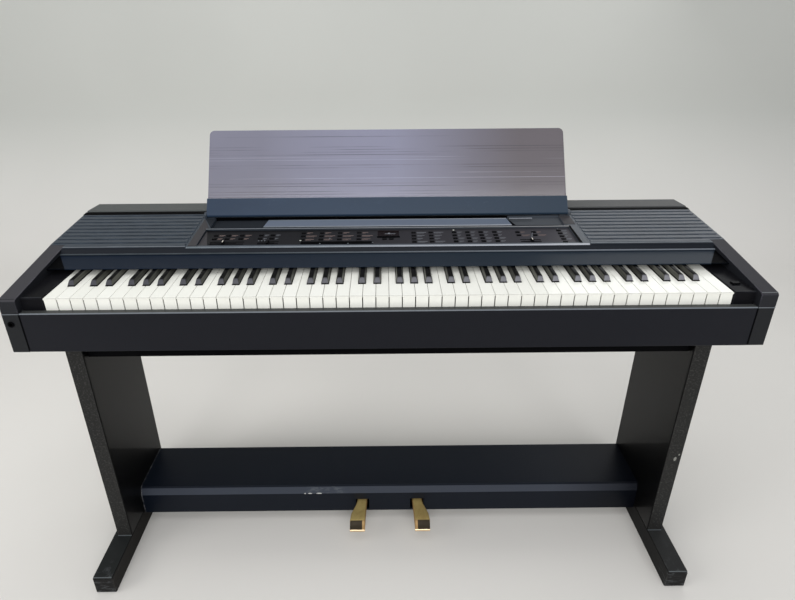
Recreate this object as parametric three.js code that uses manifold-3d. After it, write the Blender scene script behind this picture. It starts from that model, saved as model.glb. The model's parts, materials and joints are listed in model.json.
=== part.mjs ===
// Electric piano on its own stand: 88 keys, control panel, music rest and two pedals.
// Millimetres, +Z up. While it is built, X is measured from the middle of the instrument,
// Y from the front face of the key rail towards the back, and Z from the floor.
import * as THREE from 'three';
import { mergeVertices } from 'three/addons/utils/BufferGeometryUtils.js';
import Module from 'manifold-3d';

const wasm = await Module();
wasm.setup();

// Clearances
const seatGap = 0.3;      // between pieces that rest against each other
const runGap = 0.6;       // round a piece that moves in a hole or slot
const overrun = 3;        // how far a cutter runs past the face that it cuts

// Body
const bodyUnderside = 559;
const railHeight = 80;
const armThickness = 30;
const armOverKeys = 5;
const cheekWidth = 40;    // between the last key and the arm
const boardThickness = 12;

// Keyboard
const whitePitch = 23.5;
const whiteCount = 52;
const letterCount = 7;
const combCount = 7;
const firstCombCount = 9;
const keySpacing = 1;
const keysOverRail = 23;
const whiteThickness = 8;
const keyFront = 13;
const keyVisible = 132;
const keyHidden = 88;
const headLength = 43;
const skirtHeight = 30;
const skirtThickness = 3;
const blackWidth = 13.2;
const blackTopWidth = 9.8;
const blackHeight = 10.5;
const blackNose = 7;      // how far the top of a black key stands back from its foot
const blackTailWidth = 9;
const sharpShiftShares = { 0: 0.14, 2: -0.1, 3: 0.1, 5: -0.14, 6: 0 };

// Lid: one sloping plane that carries the grilles, the control panel and the music rest
const lidBehindKeys = 15;
const lidSlope = THREE.MathUtils.degToRad(5);
const lidPlate = 3;
const lidOverArms = 12.2; // where the lid starts to cover the arms, behind its front edge
const lidBehindRest = 27;
const grilleWidth = 278;

// Stand
const legInset = 73;      // from the body's side to the leg's outer face
const legThickness = 32;
const legFront = 27;
const legDepth = 195;
const footWidth = 41;
const footHeight = 46;
const footAhead = 96;     // how far the foot runs on in front of the leg
const footBehind = 50;
const footChamfer = 3;

// Pieces of the case
const rail = { thickness: 12.3, chamfer: 1.5 };
const arm = { chamfer: 3.5 };
const rearCover = { depth: 60, groove: 5, sink: 8, rise: 2.5, crown: 2, fall: 3, skin: 3, skirt: 28 };
const backPanel = { thickness: 6 };
const lip = { depth: 10.7, height: 10.5, nose: 2.2, shoulder: 5.2, shoulderDrop: 2.7 };
const fallboard = { ahead: 45, behind: 7.5, edge: 2, top: 3.4, height: 7.6, overKeys: 1.3 };
const keyBlock = { height: 1.5, back: 1, chamfer: 1.5 };
const powerSwitch = { width: 14, depth: 8, proud: 3, travel: 2, sunk: 6, behind: 30, fromArm: 14 };
const jack = { radius: 4.5, bore: 3.2, length: 26, flange: 6, flangeThickness: 1.2, inset: 12, drop: 21 };

// Key frame: folded plate with a front stop rail and the ridge that the keys rock on
const keyFrame = {
  sheet: 6, wall: 3, underSkirts: 18.7, front: 3, behindPivot: 25,
  stopFront: 27, stopDepth: 16, stopHeight: 26, ridgeFoot: 16, ridgeTop: 2,
};
const whiteBar = { ahead: 9, behind: 8 };
const blackBar = { ahead: 5, behind: 6, lift: 0.6, thickness: 5.5, stickStop: 2 };

// Grilles
const grille = { ribPitch: 15.2, ribWidth: 9, ribHeight: 1.6, margin: 8, ribInset: 4, slotInset: 12, slotWidth: 2.4 };
const speaker = {
  fromEdge: 141, fromRear: 48, radius: 42, halfLength: 75.6, depth: 40, rim: 2.4,
  magnetShare: 0.55, yokeShare: 0.44, coneShare: 0.86, coneFootShare: 0.81, domeShare: 0.3,
  magnetHeightShare: 0.72, yokeHeightShare: 0.68, domeFootShare: 0.45, domeTopShare: 0.38,
};

// Console: the frame round the control panel and the book tray
const consoleFrame = { thickness: 12, shortBy: 1.8 };
const panel = { side: 18.3, front: 5.3, depth: 69.4, sheet: 2.4, sunk: 4, shelf: 4 };
const tray = { side: 25, behindPanel: 5.3, depth: 46, sunk: 7 };
const bookStrip = { side: 113, depth: 33, height: 7.4, slant: 16 };
const display = { width: 44, depth: 24, columnShare: 0.003, rowShare: 0.73, proud: 0.2 };
const panelBoard = { sheet: 1.6, margin: 1 };

// Buttons: caps on a shared mat under the panel
const cap = { width: 9, depth: 4.6, proud: 2, mat: 1, matDrop: 1.3, travel: 1.2, border: 1.6 };
const buttonGroups = {
  buttons_left: {
    blocks: [
      { columnShares: [-0.931, -0.863, -0.79], rowShares: [0.67, 0.47] },
      { columnShares: [-0.686, -0.624], rowShares: [0.67, 0.47] },
    ],
    links: [{ fromShare: -0.79, toShare: -0.686, rowShare: 0.57 }],
  },
  buttons_style: {
    blocks: [
      { columnShares: [-0.458, -0.359, -0.26, -0.156], rowShares: [0.79, 0.59, 0.385] },
      { columnShares: [-0.018, 0.018], rowShares: [0.385] },
    ],
    links: [{ fromShare: -0.156, toShare: -0.018, rowShare: 0.385 }],
  },
  buttons_chord: {
    blocks: [{ columnShares: [0.14, 0.234], rowShares: [0.76, 0.57, 0.385, 0.2] }],
    links: [],
  },
  buttons_voice: {
    blocks: [{ columnShares: [0.361, 0.434, 0.507, 0.582], rowShares: [0.76, 0.57, 0.385, 0.2] }],
    links: [],
  },
  buttons_right: {
    blocks: [
      { columnShares: [0.707, 0.795], rowShares: [0.73, 0.54] },
      { columnShares: [0.936], rowShares: [0.82, 0.645, 0.47, 0.3, 0.125] },
    ],
    links: [{ fromShare: 0.795, toShare: 0.936, rowShare: 0.645 }],
  },
};

// Sliders: a knob on a stem that runs in a slot along the panel
const knob = {
  width: 4.4, depth: 11, height: 4.4, above: 0.4,
  stemWidth: 4, stemDepth: 1.8, footWidth: 6, footDepth: 5, footHeight: 2.2, footDrop: 0.6,
};
const sliderRowShare = 0.21;
const sliders = {
  slider_volume: { columnShare: -0.873, travel: 25, setting: 0 },
  slider_rhythm: { columnShare: -0.648, travel: 16, setting: 4.5 },
  slider_tempo: { columnShare: 0.764, travel: 16, setting: 0 },
};

// Music rest: a bar that turns on two pins between ears, with a clear sheet in its groove
const rest = { lean: THREE.MathUtils.degToRad(29), behindTray: 5, pivotAbove: 6 };
const restBar = { height: 36, front: 5, back: 5, heel: 5.4, grooveFloor: 20 };
const restPin = { radius: 3, length: 3.8 };
const restEar = { radius: 6.5, thickness: 4.2 };
const restSheet = { side: 1, thickness: 5, top: 191, corner: 11, setBack: 0.5 };

// Pedals and their box
const pedalBox = {
  setBack: 66, depth: 122, bottom: 36, height: 75, wall: 6, bevelDrop: 20, bevelDepth: 7,
  slotRise: 4, slotHeight: 32, slotSide: 4, ribThickness: 6, ribInset: 3, ribAhead: 20, ribRise: 21,
};
const shaft = { behindFront: 77, rise: 41, radius: 4, overhang: 4 };
const pedal = {
  neckInner: 52, neckWidth: 23, toeInner: 56, toeWidth: 35, reach: 134, tail: 8,
  neckEnd: 66, flare: 104, toeTop: 53, toeBottom: 37, nose: 5.3, neckTop: 67.5, neckBottom: 52,
  boss: 9, tailThickness: 12, ribClear: 18,
};
const apron = { behindLeg: 13, thickness: 18, height: 41 };

// Electronics
const mainBoard = { half: 150, fromBack: 23, depth: 80, sheet: 1.6, post: 8, postWidth: 8, chipWidth: 40, chipHeight: 14, chipPitch: 75 };
const supply = {
  fromSide: 225, width: 96, fromBack: 27, depth: 66, plate: 3, coreWidth: 62, coreDepth: 50, coreHeight: 52,
  windingWidth: 78, windingDepth: 25, windingBottom: 13, windingTop: 39,
};
const inlet = { fromSide: 251, rise: 52, width: 28, height: 20, depth: 22, flangeWidth: 44, flangeHeight: 28, flangeThickness: 2 };

// Finishes
const finish = (color, roughness, metalness = 0) => new THREE.MeshStandardMaterial({ color, roughness, metalness });
const finishes = {
  caseVinyl: finish(0x2d2f32, 0.6),
  armTop: finish(0x39373b, 0.65),
  railSatin: finish(0x232327, 0.45),
  lidPlastic: finish(0x4a5158, 0.5),
  panelPlastic: finish(0x3c3a3d, 0.55),
  fallboardBlue: finish(0x2a3540, 0.4),
  capGrey: finish(0x1c1b1e, 0.5),
  knobWhite: finish(0xd8d4cc, 0.4),
  displayRed: finish(0x2a1010, 0.15),
  ivory: finish(0xf2f2ea, 0.3),
  ebony: finish(0x1b1b1d, 0.25),
  smoke: finish(0x8b8594, 0.1),
  barSlate: finish(0x3b4855, 0.4),
  brass: finish(0xa88a3e, 0.35, 0.9),
  steel: finish(0x9a9c9e, 0.35, 0.9),
  sheetSteel: finish(0x8d9094, 0.5, 0.8),
  board: finish(0x1f5a38, 0.6),
  cone: finish(0x18181a, 0.8),
  core: finish(0x6a6c70, 0.5, 0.6),
};

// Worked-out places
const keyboardHalf = whiteCount * whitePitch / 2;
const armInner = keyboardHalf + cheekWidth;
const bodyHalf = armInner + armThickness;
const seamHeight = bodyUnderside + railHeight;
const whiteTop = seamHeight + keysOverRail;
const armFrontHeight = whiteTop + armOverKeys;
const keyBack = keyFront + keyVisible;
const pivotY = keyBack + keyHidden;
const pivotZ = whiteTop - whiteThickness;
const frameBase = bodyUnderside + boardThickness + seatGap;
const fallboardFoot = whiteTop + blackHeight + fallboard.overKeys;
const fallboardTop = fallboardFoot + fallboard.height;
const lidFront = keyBack + lidBehindKeys;
const lidFrontHeight = fallboardTop + seatGap + lip.height + seatGap;
const trayFront = panel.front + panel.depth + tray.behindPanel;
const restPivot = trayFront + tray.depth + rest.behindTray;
const lidLength = restPivot + lidBehindRest;
const lidHeight = (y) => lidFrontHeight + (y - lidFront) * Math.tan(lidSlope);
const coverFront = lidFront + lidLength * Math.cos(lidSlope) + lidPlate * Math.sin(lidSlope) + seatGap;
const coverTop = lidHeight(coverFront) + rearCover.rise;
const coverLedge = coverTop - rearCover.sink;
const bodyDepth = coverFront + rearCover.depth;
const consoleHalf = bodyHalf - grilleWidth;
const panelHalf = consoleHalf - panel.side;
const panelX = (share) => share * panelHalf;
const panelY = (share) => panel.front + share * panel.depth;
const restHalf = consoleHalf - restEar.thickness - seatGap;
const speakerX = bodyHalf - speaker.fromEdge;
const speakerY = lidLength - speaker.fromRear;
const legOuter = bodyHalf - legInset;
const legInner = legOuter - legThickness;
const pedalBoxFront = legFront + pedalBox.setBack;
const pedalBoxTop = pedalBox.bottom + pedalBox.height;
const shaftY = pedalBoxFront + shaft.behindFront;
const shaftZ = pedalBox.bottom + shaft.rise;
const pedalNeckOuter = pedal.neckInner + pedal.neckWidth;
const pedalRib = pedalNeckOuter + pedal.ribClear;
const inletX = bodyHalf - inlet.fromSide;
const inletZ = bodyUnderside + inlet.rise;

// Solids
const xAxis = new THREE.Vector3(1, 0, 0);
const yAxis = new THREE.Vector3(0, 1, 0);
const zAxis = new THREE.Vector3(0, 0, 1);

const outline = (points) => new THREE.Shape(points.map(([a, b]) => new THREE.Vector2(a, b)));

function extrude(shape, depth, curveSegments = 8) {
  return new THREE.ExtrudeGeometry(shape, { depth, bevelEnabled: false, curveSegments });
}

// A side view, as [y, z] points or a shape, drawn out from left to right
function alongX(points, left, right, curveSegments) {
  const shape = Array.isArray(points) ? outline(points) : points;
  const geometry = extrude(shape, right - left, curveSegments);
  geometry.applyMatrix4(new THREE.Matrix4().makeBasis(yAxis, zAxis, xAxis));
  return geometry.translate(left, 0, 0);
}

// A front view, as [x, z] points or a shape, drawn out from front to back
function alongY(points, front, back, curveSegments) {
  const shape = Array.isArray(points) ? outline(points) : points;
  const geometry = extrude(shape, back - front, curveSegments);
  geometry.applyMatrix4(new THREE.Matrix4().makeBasis(xAxis, zAxis, yAxis.clone().negate()));
  return geometry.translate(0, back, 0);
}

// A plan, as [x, y] points or a shape, drawn up from bottom to top
function alongZ(points, bottom, top, curveSegments) {
  const shape = Array.isArray(points) ? outline(points) : points;
  return extrude(shape, top - bottom, curveSegments).translate(0, 0, bottom);
}

function block([left, right], [front, back], [bottom, top]) {
  const geometry = new THREE.BoxGeometry(right - left, back - front, top - bottom);
  return geometry.translate((left + right) / 2, (front + back) / 2, (bottom + top) / 2);
}

function rodAlongX(radius, left, right, y, z, sides = 20) {
  const geometry = new THREE.CylinderGeometry(radius, radius, right - left, sides);
  geometry.rotateZ(-Math.PI / 2);
  return geometry.translate((left + right) / 2, y, z);
}

const around = (middle, size) => [middle - size / 2, middle + size / 2];
const mirrored = (points) => points.map(([x, y]) => [-x, y]);

function solid(geometry) {
  const bare = geometry.clone();
  bare.deleteAttribute('normal');
  bare.deleteAttribute('uv');
  const merged = mergeVertices(bare);
  const vertProperties = Float32Array.from(merged.attributes.position.array);
  const triVerts = Uint32Array.from(merged.index.array);
  return new wasm.Manifold(new wasm.Mesh({ numProp: 3, vertProperties, triVerts }));
}

function geometryOf(manifold) {
  const { vertProperties, triVerts } = manifold.getMesh();
  const geometry = new THREE.BufferGeometry();
  geometry.setAttribute('position', new THREE.BufferAttribute(Float32Array.from(vertProperties), 3));
  geometry.setIndex(new THREE.BufferAttribute(Uint32Array.from(triVerts), 1));
  geometry.computeVertexNormals();
  return geometry;
}

const joined = (...pieces) => geometryOf(pieces.map(solid).reduce((sum, piece) => sum.add(piece)));
const cut = (base, ...cutters) => geometryOf(cutters.map(solid).reduce((left, piece) => left.subtract(piece), solid(base)));
const common = (one, other) => geometryOf(solid(one).intersect(solid(other)));

// The instrument, with nested groups for what follows the lid's slope and the rest's lean
const piano = new THREE.Group();
const instrument = new THREE.Group();
piano.add(instrument);
const lid = new THREE.Group();
lid.position.set(0, lidFront, lidFrontHeight);
lid.rotation.x = lidSlope;
instrument.add(lid);

function place(group, name, geometry, material) {
  const mesh = new THREE.Mesh(geometry, material);
  mesh.name = name;
  group.add(mesh);
  return mesh;
}

// Calls make(side) for the left and the right, with side -1 and 1
function bothSides(make) {
  make('left', -1);
  make('right', 1);
}

const span = (side, inner, outer) => (side < 0 ? [-outer, -inner] : [inner, outer]);

// Case
function sidePanel(side) {
  const [left, right] = span(side, armInner, bodyHalf);
  const panelBlock = block([left, right], [0, bodyDepth], [bodyUnderside, seamHeight]);
  if (side > 0) return panelBlock;
  const hole = new THREE.CylinderGeometry(jack.radius + seatGap, jack.radius + seatGap, jack.length + overrun, 20);
  hole.translate(left + jack.inset, (jack.length - overrun) / 2 + seatGap, seamHeight - jack.drop);
  return cut(panelBlock, hole);
}

function sideCap(side) {
  const foot = seamHeight + seatGap;
  const underLid = (lidPlate + seatGap) / Math.cos(lidSlope);
  const step = lidFront + lidOverArms * Math.cos(lidSlope) - runGap;
  const lidEnd = coverFront - seatGap;
  const underLedge = coverLedge - rearCover.skin - seatGap;
  const underCover = coverTop - rearCover.skin - seatGap;
  const ledgeEnd = coverFront + rearCover.groove + rearCover.skin + seatGap;
  const skirtFront = bodyDepth - rearCover.skin - seatGap;
  const skirtFoot = coverTop - rearCover.skirt - seatGap;
  const profile = [
    [0, foot], [0, armFrontHeight - arm.chamfer], [arm.chamfer, armFrontHeight],
    [step, lidHeight(step)], [step, lidHeight(step) - underLid],
    [lidEnd, lidHeight(lidEnd) - underLid], [lidEnd, underLedge], [ledgeEnd, underLedge],
    [ledgeEnd, underCover - rearCover.crown], [skirtFront, underCover - rearCover.fall],
    [skirtFront, skirtFoot], [bodyDepth, skirtFoot], [bodyDepth, foot],
  ];
  const [left, right] = span(side, armInner, bodyHalf);
  return alongX(profile, left, right);
}

function frontRail() {
  const half = armInner - seatGap;
  const profile = [
    [0, bodyUnderside], [0, seamHeight - rail.chamfer], [rail.chamfer, seamHeight],
    [rail.thickness, seamHeight], [rail.thickness, bodyUnderside],
  ];
  return alongX(profile, -half, half);
}

function bottomBoard() {
  const half = armInner - seatGap;
  return block([-half, half], [rail.thickness + seatGap, bodyDepth - backPanel.thickness - seatGap],
    [bodyUnderside, bodyUnderside + boardThickness]);
}

function backBoard() {
  const half = armInner - seatGap;
  const top = coverTop - rearCover.skirt - seatGap;
  const sheet = block([-half, half], [bodyDepth - backPanel.thickness, bodyDepth], [bodyUnderside, top]);
  const hole = block(around(inletX, inlet.width + 2 * seatGap), [bodyDepth - backPanel.thickness - overrun, bodyDepth + overrun],
    around(inletZ, inlet.height + 2 * seatGap));
  return cut(sheet, hole);
}

// The top behind the lid: a bent sheet with a groove along the lid's rear edge and a skirt at the back
function rearCoverSkin() {
  const { crown, fall, skin, skirt } = rearCover;
  const riser = coverFront + rearCover.groove;
  const profile = [
    [coverFront, coverLedge - skin], [coverFront, coverLedge], [riser, coverLedge], [riser, coverTop - crown],
    [riser + crown, coverTop], [bodyDepth, coverTop - fall], [bodyDepth, coverTop - skirt],
    [bodyDepth - skin, coverTop - skirt], [bodyDepth - skin, coverTop - fall - skin],
    [riser + skin, coverTop - crown - skin], [riser + skin, coverLedge - skin],
  ];
  return alongX(profile, -bodyHalf, bodyHalf);
}

function lidLip() {
  const back = lidFront - seatGap;
  const top = lidFrontHeight - seatGap;
  const profile = [
    [back, top], [back - lip.nose, top], [back - lip.shoulder, top - lip.shoulderDrop],
    [back - lip.depth, top - lip.height], [back, top - lip.height],
  ];
  return alongX(profile, -(armInner - seatGap), armInner - seatGap);
}

// The strip that slopes down from the lip to just above the black keys
function fallboardStrip() {
  const { ahead, behind, edge, top } = fallboard;
  const profile = [
    [keyBack - ahead, fallboardFoot], [keyBack - ahead, fallboardFoot + edge], [keyBack + behind, fallboardTop],
    [keyBack + behind + top, fallboardTop], [keyBack + behind + top, fallboardFoot],
  ];
  return alongX(profile, -(armInner - seatGap), armInner - seatGap);
}

function switchPlace() {
  const x = armInner - powerSwitch.fromArm - powerSwitch.width / 2;
  return { x, y: keyFront + powerSwitch.behind };
}

function endBlock(side) {
  const top = whiteTop + keyBlock.height;
  const profile = [
    [keyFront, frameBase], [keyFront, top - keyBlock.chamfer], [keyFront + keyBlock.chamfer, top],
    [keyBack + keyBlock.back, top], [keyBack + keyBlock.back, frameBase],
  ];
  const [left, right] = span(side, keyboardHalf + keySpacing, armInner - seatGap);
  const shape = alongX(profile, left, right);
  if (side < 0) return shape;
  const { x, y } = switchPlace();
  return cut(shape, block(around(x, powerSwitch.width + runGap), around(y, powerSwitch.depth + runGap),
    [top - powerSwitch.sunk - powerSwitch.travel, top + overrun]));
}

function switchButton() {
  const { x, y } = switchPlace();
  const top = whiteTop + keyBlock.height;
  return block(around(x, powerSwitch.width), around(y, powerSwitch.depth), [top - powerSwitch.sunk + seatGap, top + powerSwitch.proud]);
}

function headphoneJack() {
  const x = -bodyHalf + jack.inset;
  const z = seamHeight - jack.drop;
  const inner = jack.length - jack.flangeThickness;
  const profile = [
    [0, inner], [jack.bore, inner], [jack.bore, -jack.flangeThickness], [jack.flange, -jack.flangeThickness],
    [jack.flange, 0], [jack.radius, 0], [jack.radius, jack.length], [0, jack.length],
  ];
  const geometry = new THREE.LatheGeometry(profile.map(([r, y]) => new THREE.Vector2(r, y)), 20);
  return geometry.translate(x, -seatGap, z);
}

// Keys
const letter = (index) => index % letterCount;
const boundary = (index) => (index + 1) * whitePitch - keyboardHalf;
const hasSharp = (index) => index >= 0 && index < whiteCount - 1 && letter(index) in sharpShiftShares;
const sharpMiddle = (index) => boundary(index) + sharpShiftShares[letter(index)] * whitePitch;

function whiteEdges(index) {
  const left = boundary(index - 1) + keySpacing / 2;
  const right = boundary(index) - keySpacing / 2;
  const slotHalf = blackWidth / 2 + keySpacing;
  const tailLeft = hasSharp(index - 1) ? sharpMiddle(index - 1) + slotHalf : left;
  const tailRight = hasSharp(index) ? sharpMiddle(index) - slotHalf : right;
  return { left, right, tailLeft, tailRight };
}

function whiteComb(first, end) {
  const head = keyFront + headLength;
  const barFront = pivotY - whiteBar.ahead;
  const barBack = pivotY + whiteBar.behind;
  const points = [];
  const skirts = [];
  for (let index = first; index < end; index += 1) {
    const { left, right, tailLeft, tailRight } = whiteEdges(index);
    points.push([tailLeft, barFront]);
    if (tailLeft > left) points.push([tailLeft, head]);
    if (tailLeft > left) points.push([left, head]);
    points.push([left, keyFront], [right, keyFront]);
    if (tailRight < right) points.push([right, head]);
    if (tailRight < right) points.push([tailRight, head]);
    points.push([tailRight, barFront]);
    skirts.push(block([left, right], [keyFront, keyFront + skirtThickness],
      [whiteTop - skirtHeight, whiteTop - whiteThickness / 2]));
  }
  const start = whiteEdges(first).tailLeft;
  const finishEdge = whiteEdges(end - 1).tailRight;
  const ring = [[start, barBack], ...points.slice(1, -1), [finishEdge, barBack]];
  return joined(alongZ(ring, whiteTop - whiteThickness, whiteTop), ...skirts);
}

// A block whose top is smaller than its foot
function taperedBlock(foot, top, bottomHeight, topHeight) {
  const corners = [];
  for (const [[left, right], [front, back], height] of [[...foot, bottomHeight], [...top, topHeight]]) {
    corners.push([left, front, height], [right, front, height], [right, back, height], [left, back, height]);
  }
  const faces = [
    [0, 2, 1], [0, 3, 2], [4, 5, 6], [4, 6, 7], [0, 1, 5], [0, 5, 4],
    [1, 2, 6], [1, 6, 5], [2, 3, 7], [2, 7, 6], [3, 0, 4], [3, 4, 7],
  ];
  const geometry = new THREE.BufferGeometry();
  geometry.setAttribute('position', new THREE.Float32BufferAttribute(corners.flat(), 3));
  geometry.setIndex(faces.flat());
  return geometry;
}

function blackComb(first, end) {
  const front = keyFront + headLength + keySpacing;
  const stickBack = pivotY - whiteBar.ahead - blackBar.stickStop;
  const bodyBack = keyBack + fallboard.behind + fallboard.top;
  const barBottom = whiteTop + blackBar.lift;
  const barTop = barBottom + blackBar.thickness;
  const barBack = pivotY + blackBar.behind;
  const pieces = [];
  const middles = [];
  for (let index = first; index < end; index += 1) {
    if (!hasSharp(index)) continue;
    const x = sharpMiddle(index);
    middles.push(x);
    pieces.push(block(around(x, blackWidth), [front, stickBack], [pivotZ, barBottom + seatGap]));
    pieces.push(taperedBlock([around(x, blackWidth), [front, bodyBack]],
      [around(x, blackTopWidth), [front + blackNose, bodyBack]], barBottom, whiteTop + blackHeight));
    pieces.push(block(around(x, blackTailWidth), [keyBack, barBack], [barBottom, barTop]));
  }
  pieces.push(block([middles[0], middles[middles.length - 1]], [pivotY - blackBar.ahead, barBack], [barBottom, barTop]));
  return joined(...pieces);
}

function keyFramePlate() {
  const half = keyboardHalf + keySpacing - seatGap;
  const deck = whiteTop - skirtHeight - keyFrame.underSkirts;
  const front = rail.thickness + keyFrame.front;
  const back = pivotY + keyFrame.behindPivot;
  const stop = front + keyFrame.stopFront;
  const profile = [
    [front, frameBase], [front + keyFrame.wall, frameBase], [front + keyFrame.wall, deck - keyFrame.sheet],
    [back - keyFrame.wall, deck - keyFrame.sheet], [back - keyFrame.wall, frameBase], [back, frameBase], [back, deck],
    [pivotY + keyFrame.ridgeFoot / 2, deck], [pivotY + keyFrame.ridgeTop / 2, pivotZ - seatGap],
    [pivotY - keyFrame.ridgeTop / 2, pivotZ - seatGap], [pivotY - keyFrame.ridgeFoot / 2, deck],
    [stop + keyFrame.stopDepth, deck], [stop + keyFrame.stopDepth, deck + keyFrame.stopHeight],
    [stop, deck + keyFrame.stopHeight], [stop, deck], [front, deck],
  ];
  return alongX(profile, -half, half);
}

// Lid pieces, in the lid's own frame: X across, Y up the slope, Z out of its surface
function grillePlate(side) {
  const inner = consoleHalf + seatGap;
  const notch = armInner - seatGap;
  const corners = [
    [inner, 0], [notch, 0], [notch, lidOverArms], [bodyHalf, lidOverArms], [bodyHalf, lidLength], [inner, lidLength],
  ];
  const plate = alongZ(side < 0 ? mirrored(corners) : corners, -lidPlate, 0);
  const ribCount = Math.floor((lidLength - 2 * grille.margin) / grille.ribPitch);
  const ribs = [];
  const slots = [];
  for (let row = 0; row <= ribCount; row += 1) {
    const y = grille.margin + row * grille.ribPitch;
    const outer = y - grille.ribWidth / 2 < lidOverArms ? notch : bodyHalf;
    ribs.push(block(span(side, inner + grille.ribInset, outer - grille.ribInset), around(y, grille.ribWidth),
      [-lidPlate / 2, grille.ribHeight]));
    if (row === ribCount) break;
    slots.push(block(span(side, inner + grille.slotInset, notch - grille.slotInset),
      around(y + grille.ribPitch / 2, grille.slotWidth), [-lidPlate - overrun, overrun]));
  }
  return cut(joined(plate, ...ribs), ...slots);
}

function speakerDriver(side) {
  const { radius, depth, rim } = speaker;
  const top = -(lidPlate + seatGap);
  const magnet = radius * speaker.magnetShare;
  const cone = radius * speaker.coneShare;
  const profile = [
    [0, -depth], [magnet, -depth], [magnet, -depth * speaker.magnetHeightShare],
    [radius * speaker.yokeShare, -depth * speaker.yokeHeightShare], [cone, top - 2 * rim],
    [radius, top - rim], [radius, top], [cone, top], [radius * speaker.coneFootShare, top - rim],
    [radius * speaker.domeShare, -depth * speaker.domeFootShare], [0, -depth * speaker.domeTopShare],
  ];
  const geometry = new THREE.LatheGeometry(profile.map(([r, z]) => new THREE.Vector2(r, z)), 24);
  geometry.rotateX(Math.PI / 2);
  geometry.scale(speaker.halfLength / radius, 1, 1);
  return geometry.translate(side * speakerX, speakerY, 0);
}

function consoleShell() {
  const back = lidLength - consoleFrame.shortBy;
  const outer = consoleHalf;
  const frame = block([-outer, outer], [0, back], [-consoleFrame.thickness, 0]);
  const seatHalf = panelHalf + seatGap;
  const seatBottom = -(panel.sunk + panel.sheet + seatGap);
  const shelfHalf = seatHalf - panel.shelf;
  const panelSeat = block([-seatHalf, seatHalf], [panel.front - seatGap, panel.front + panel.depth + seatGap], [seatBottom, overrun]);
  const panelHole = block([-shelfHalf, shelfHalf],
    [panel.front - seatGap + panel.shelf, panel.front + panel.depth + seatGap - panel.shelf],
    [-consoleFrame.thickness - overrun, overrun]);
  const trayHalf = consoleHalf - tray.side;
  const trayPocket = block([-trayHalf, trayHalf], [trayFront, trayFront + tray.depth], [-tray.sunk, overrun]);
  const shell = cut(frame, panelSeat, panelHole, trayPocket);
  const floor = -tray.sunk - seatGap;
  const crest = -tray.sunk + bookStrip.height;
  const stripHalf = trayHalf - bookStrip.side;
  const crestHalf = stripHalf - bookStrip.slant;
  const stripView = [[-stripHalf, floor], [stripHalf, floor], [crestHalf, crest], [-crestHalf, crest]];
  const strip = alongY(stripView, trayFront - seatGap, trayFront + bookStrip.depth);
  const ears = [-1, 1].map((side) => ear(side));
  return joined(shell, strip, ...ears);
}

// One ear that holds a pin of the music rest's bar
function ear(side) {
  const shape = new THREE.Shape();
  shape.moveTo(restPivot + restEar.radius, -consoleFrame.thickness / 2);
  shape.lineTo(restPivot + restEar.radius, rest.pivotAbove);
  shape.absarc(restPivot, rest.pivotAbove, restEar.radius, 0, Math.PI, false);
  shape.lineTo(restPivot - restEar.radius, -consoleFrame.thickness / 2);
  const hole = new THREE.Path();
  hole.absarc(restPivot, rest.pivotAbove, restPin.radius + seatGap, 0, 2 * Math.PI, true);
  shape.holes.push(hole);
  const [left, right] = span(side, consoleHalf - restEar.thickness, consoleHalf);
  return alongX(shape, left, right, 8);
}

function controlPanel() {
  const top = -panel.sunk;
  const bottom = top - panel.sheet;
  const through = [bottom - overrun, top + overrun];
  const sheet = block([-panelHalf, panelHalf], [panel.front, panel.front + panel.depth], [bottom, top]);
  const cutters = [block(around(panelX(display.columnShare), display.width + 2 * seatGap),
    around(panelY(display.rowShare), display.depth + 2 * seatGap), through)];
  for (const { blocks } of Object.values(buttonGroups)) {
    for (const { columnShares, rowShares } of blocks) {
      for (const column of columnShares) {
        for (const row of rowShares) {
          cutters.push(block(around(panelX(column), cap.width + runGap), around(panelY(row), cap.depth + runGap), through));
        }
      }
    }
  }
  for (const { columnShare, travel } of Object.values(sliders)) {
    const length = 2 * travel + knob.stemWidth + runGap;
    cutters.push(block(around(panelX(columnShare), length), around(panelY(sliderRowShare), knob.stemDepth + runGap), through));
  }
  return cut(sheet, ...cutters);
}

function displayWindow() {
  const top = -panel.sunk + display.proud;
  return block(around(panelX(display.columnShare), display.width), around(panelY(display.rowShare), display.depth),
    [-panel.sunk - panel.sheet, top]);
}

function switchBoard() {
  const half = panelHalf - panel.shelf - panelBoard.margin + seatGap;
  const front = panel.front + panel.shelf;
  const back = panel.front + panel.depth - panel.shelf;
  return block([-half, half], [front, back], [-consoleFrame.thickness, -consoleFrame.thickness + panelBoard.sheet]);
}

function buttonMat({ blocks, links }) {
  const matTop = -panel.sunk - panel.sheet - cap.matDrop;
  const matBottom = matTop - cap.mat;
  const capTop = -panel.sunk + cap.proud;
  const pieces = [];
  for (const { columnShares, rowShares } of blocks) {
    const columns = columnShares.map(panelX);
    const rows = rowShares.map(panelY);
    const halfWidth = cap.width / 2 + cap.border;
    const halfDepth = cap.depth / 2 + cap.border;
    pieces.push(block([Math.min(...columns) - halfWidth, Math.max(...columns) + halfWidth],
      [Math.min(...rows) - halfDepth, Math.max(...rows) + halfDepth], [matBottom, matTop]));
    for (const x of columns) {
      for (const y of rows) {
        pieces.push(block(around(x, cap.width), around(y, cap.depth), [matBottom + cap.mat / 2, capTop]));
      }
    }
  }
  for (const { fromShare, toShare, rowShare } of links) {
    pieces.push(block([panelX(fromShare), panelX(toShare)], around(panelY(rowShare), cap.depth), [matBottom, matTop]));
  }
  return joined(...pieces);
}

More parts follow.
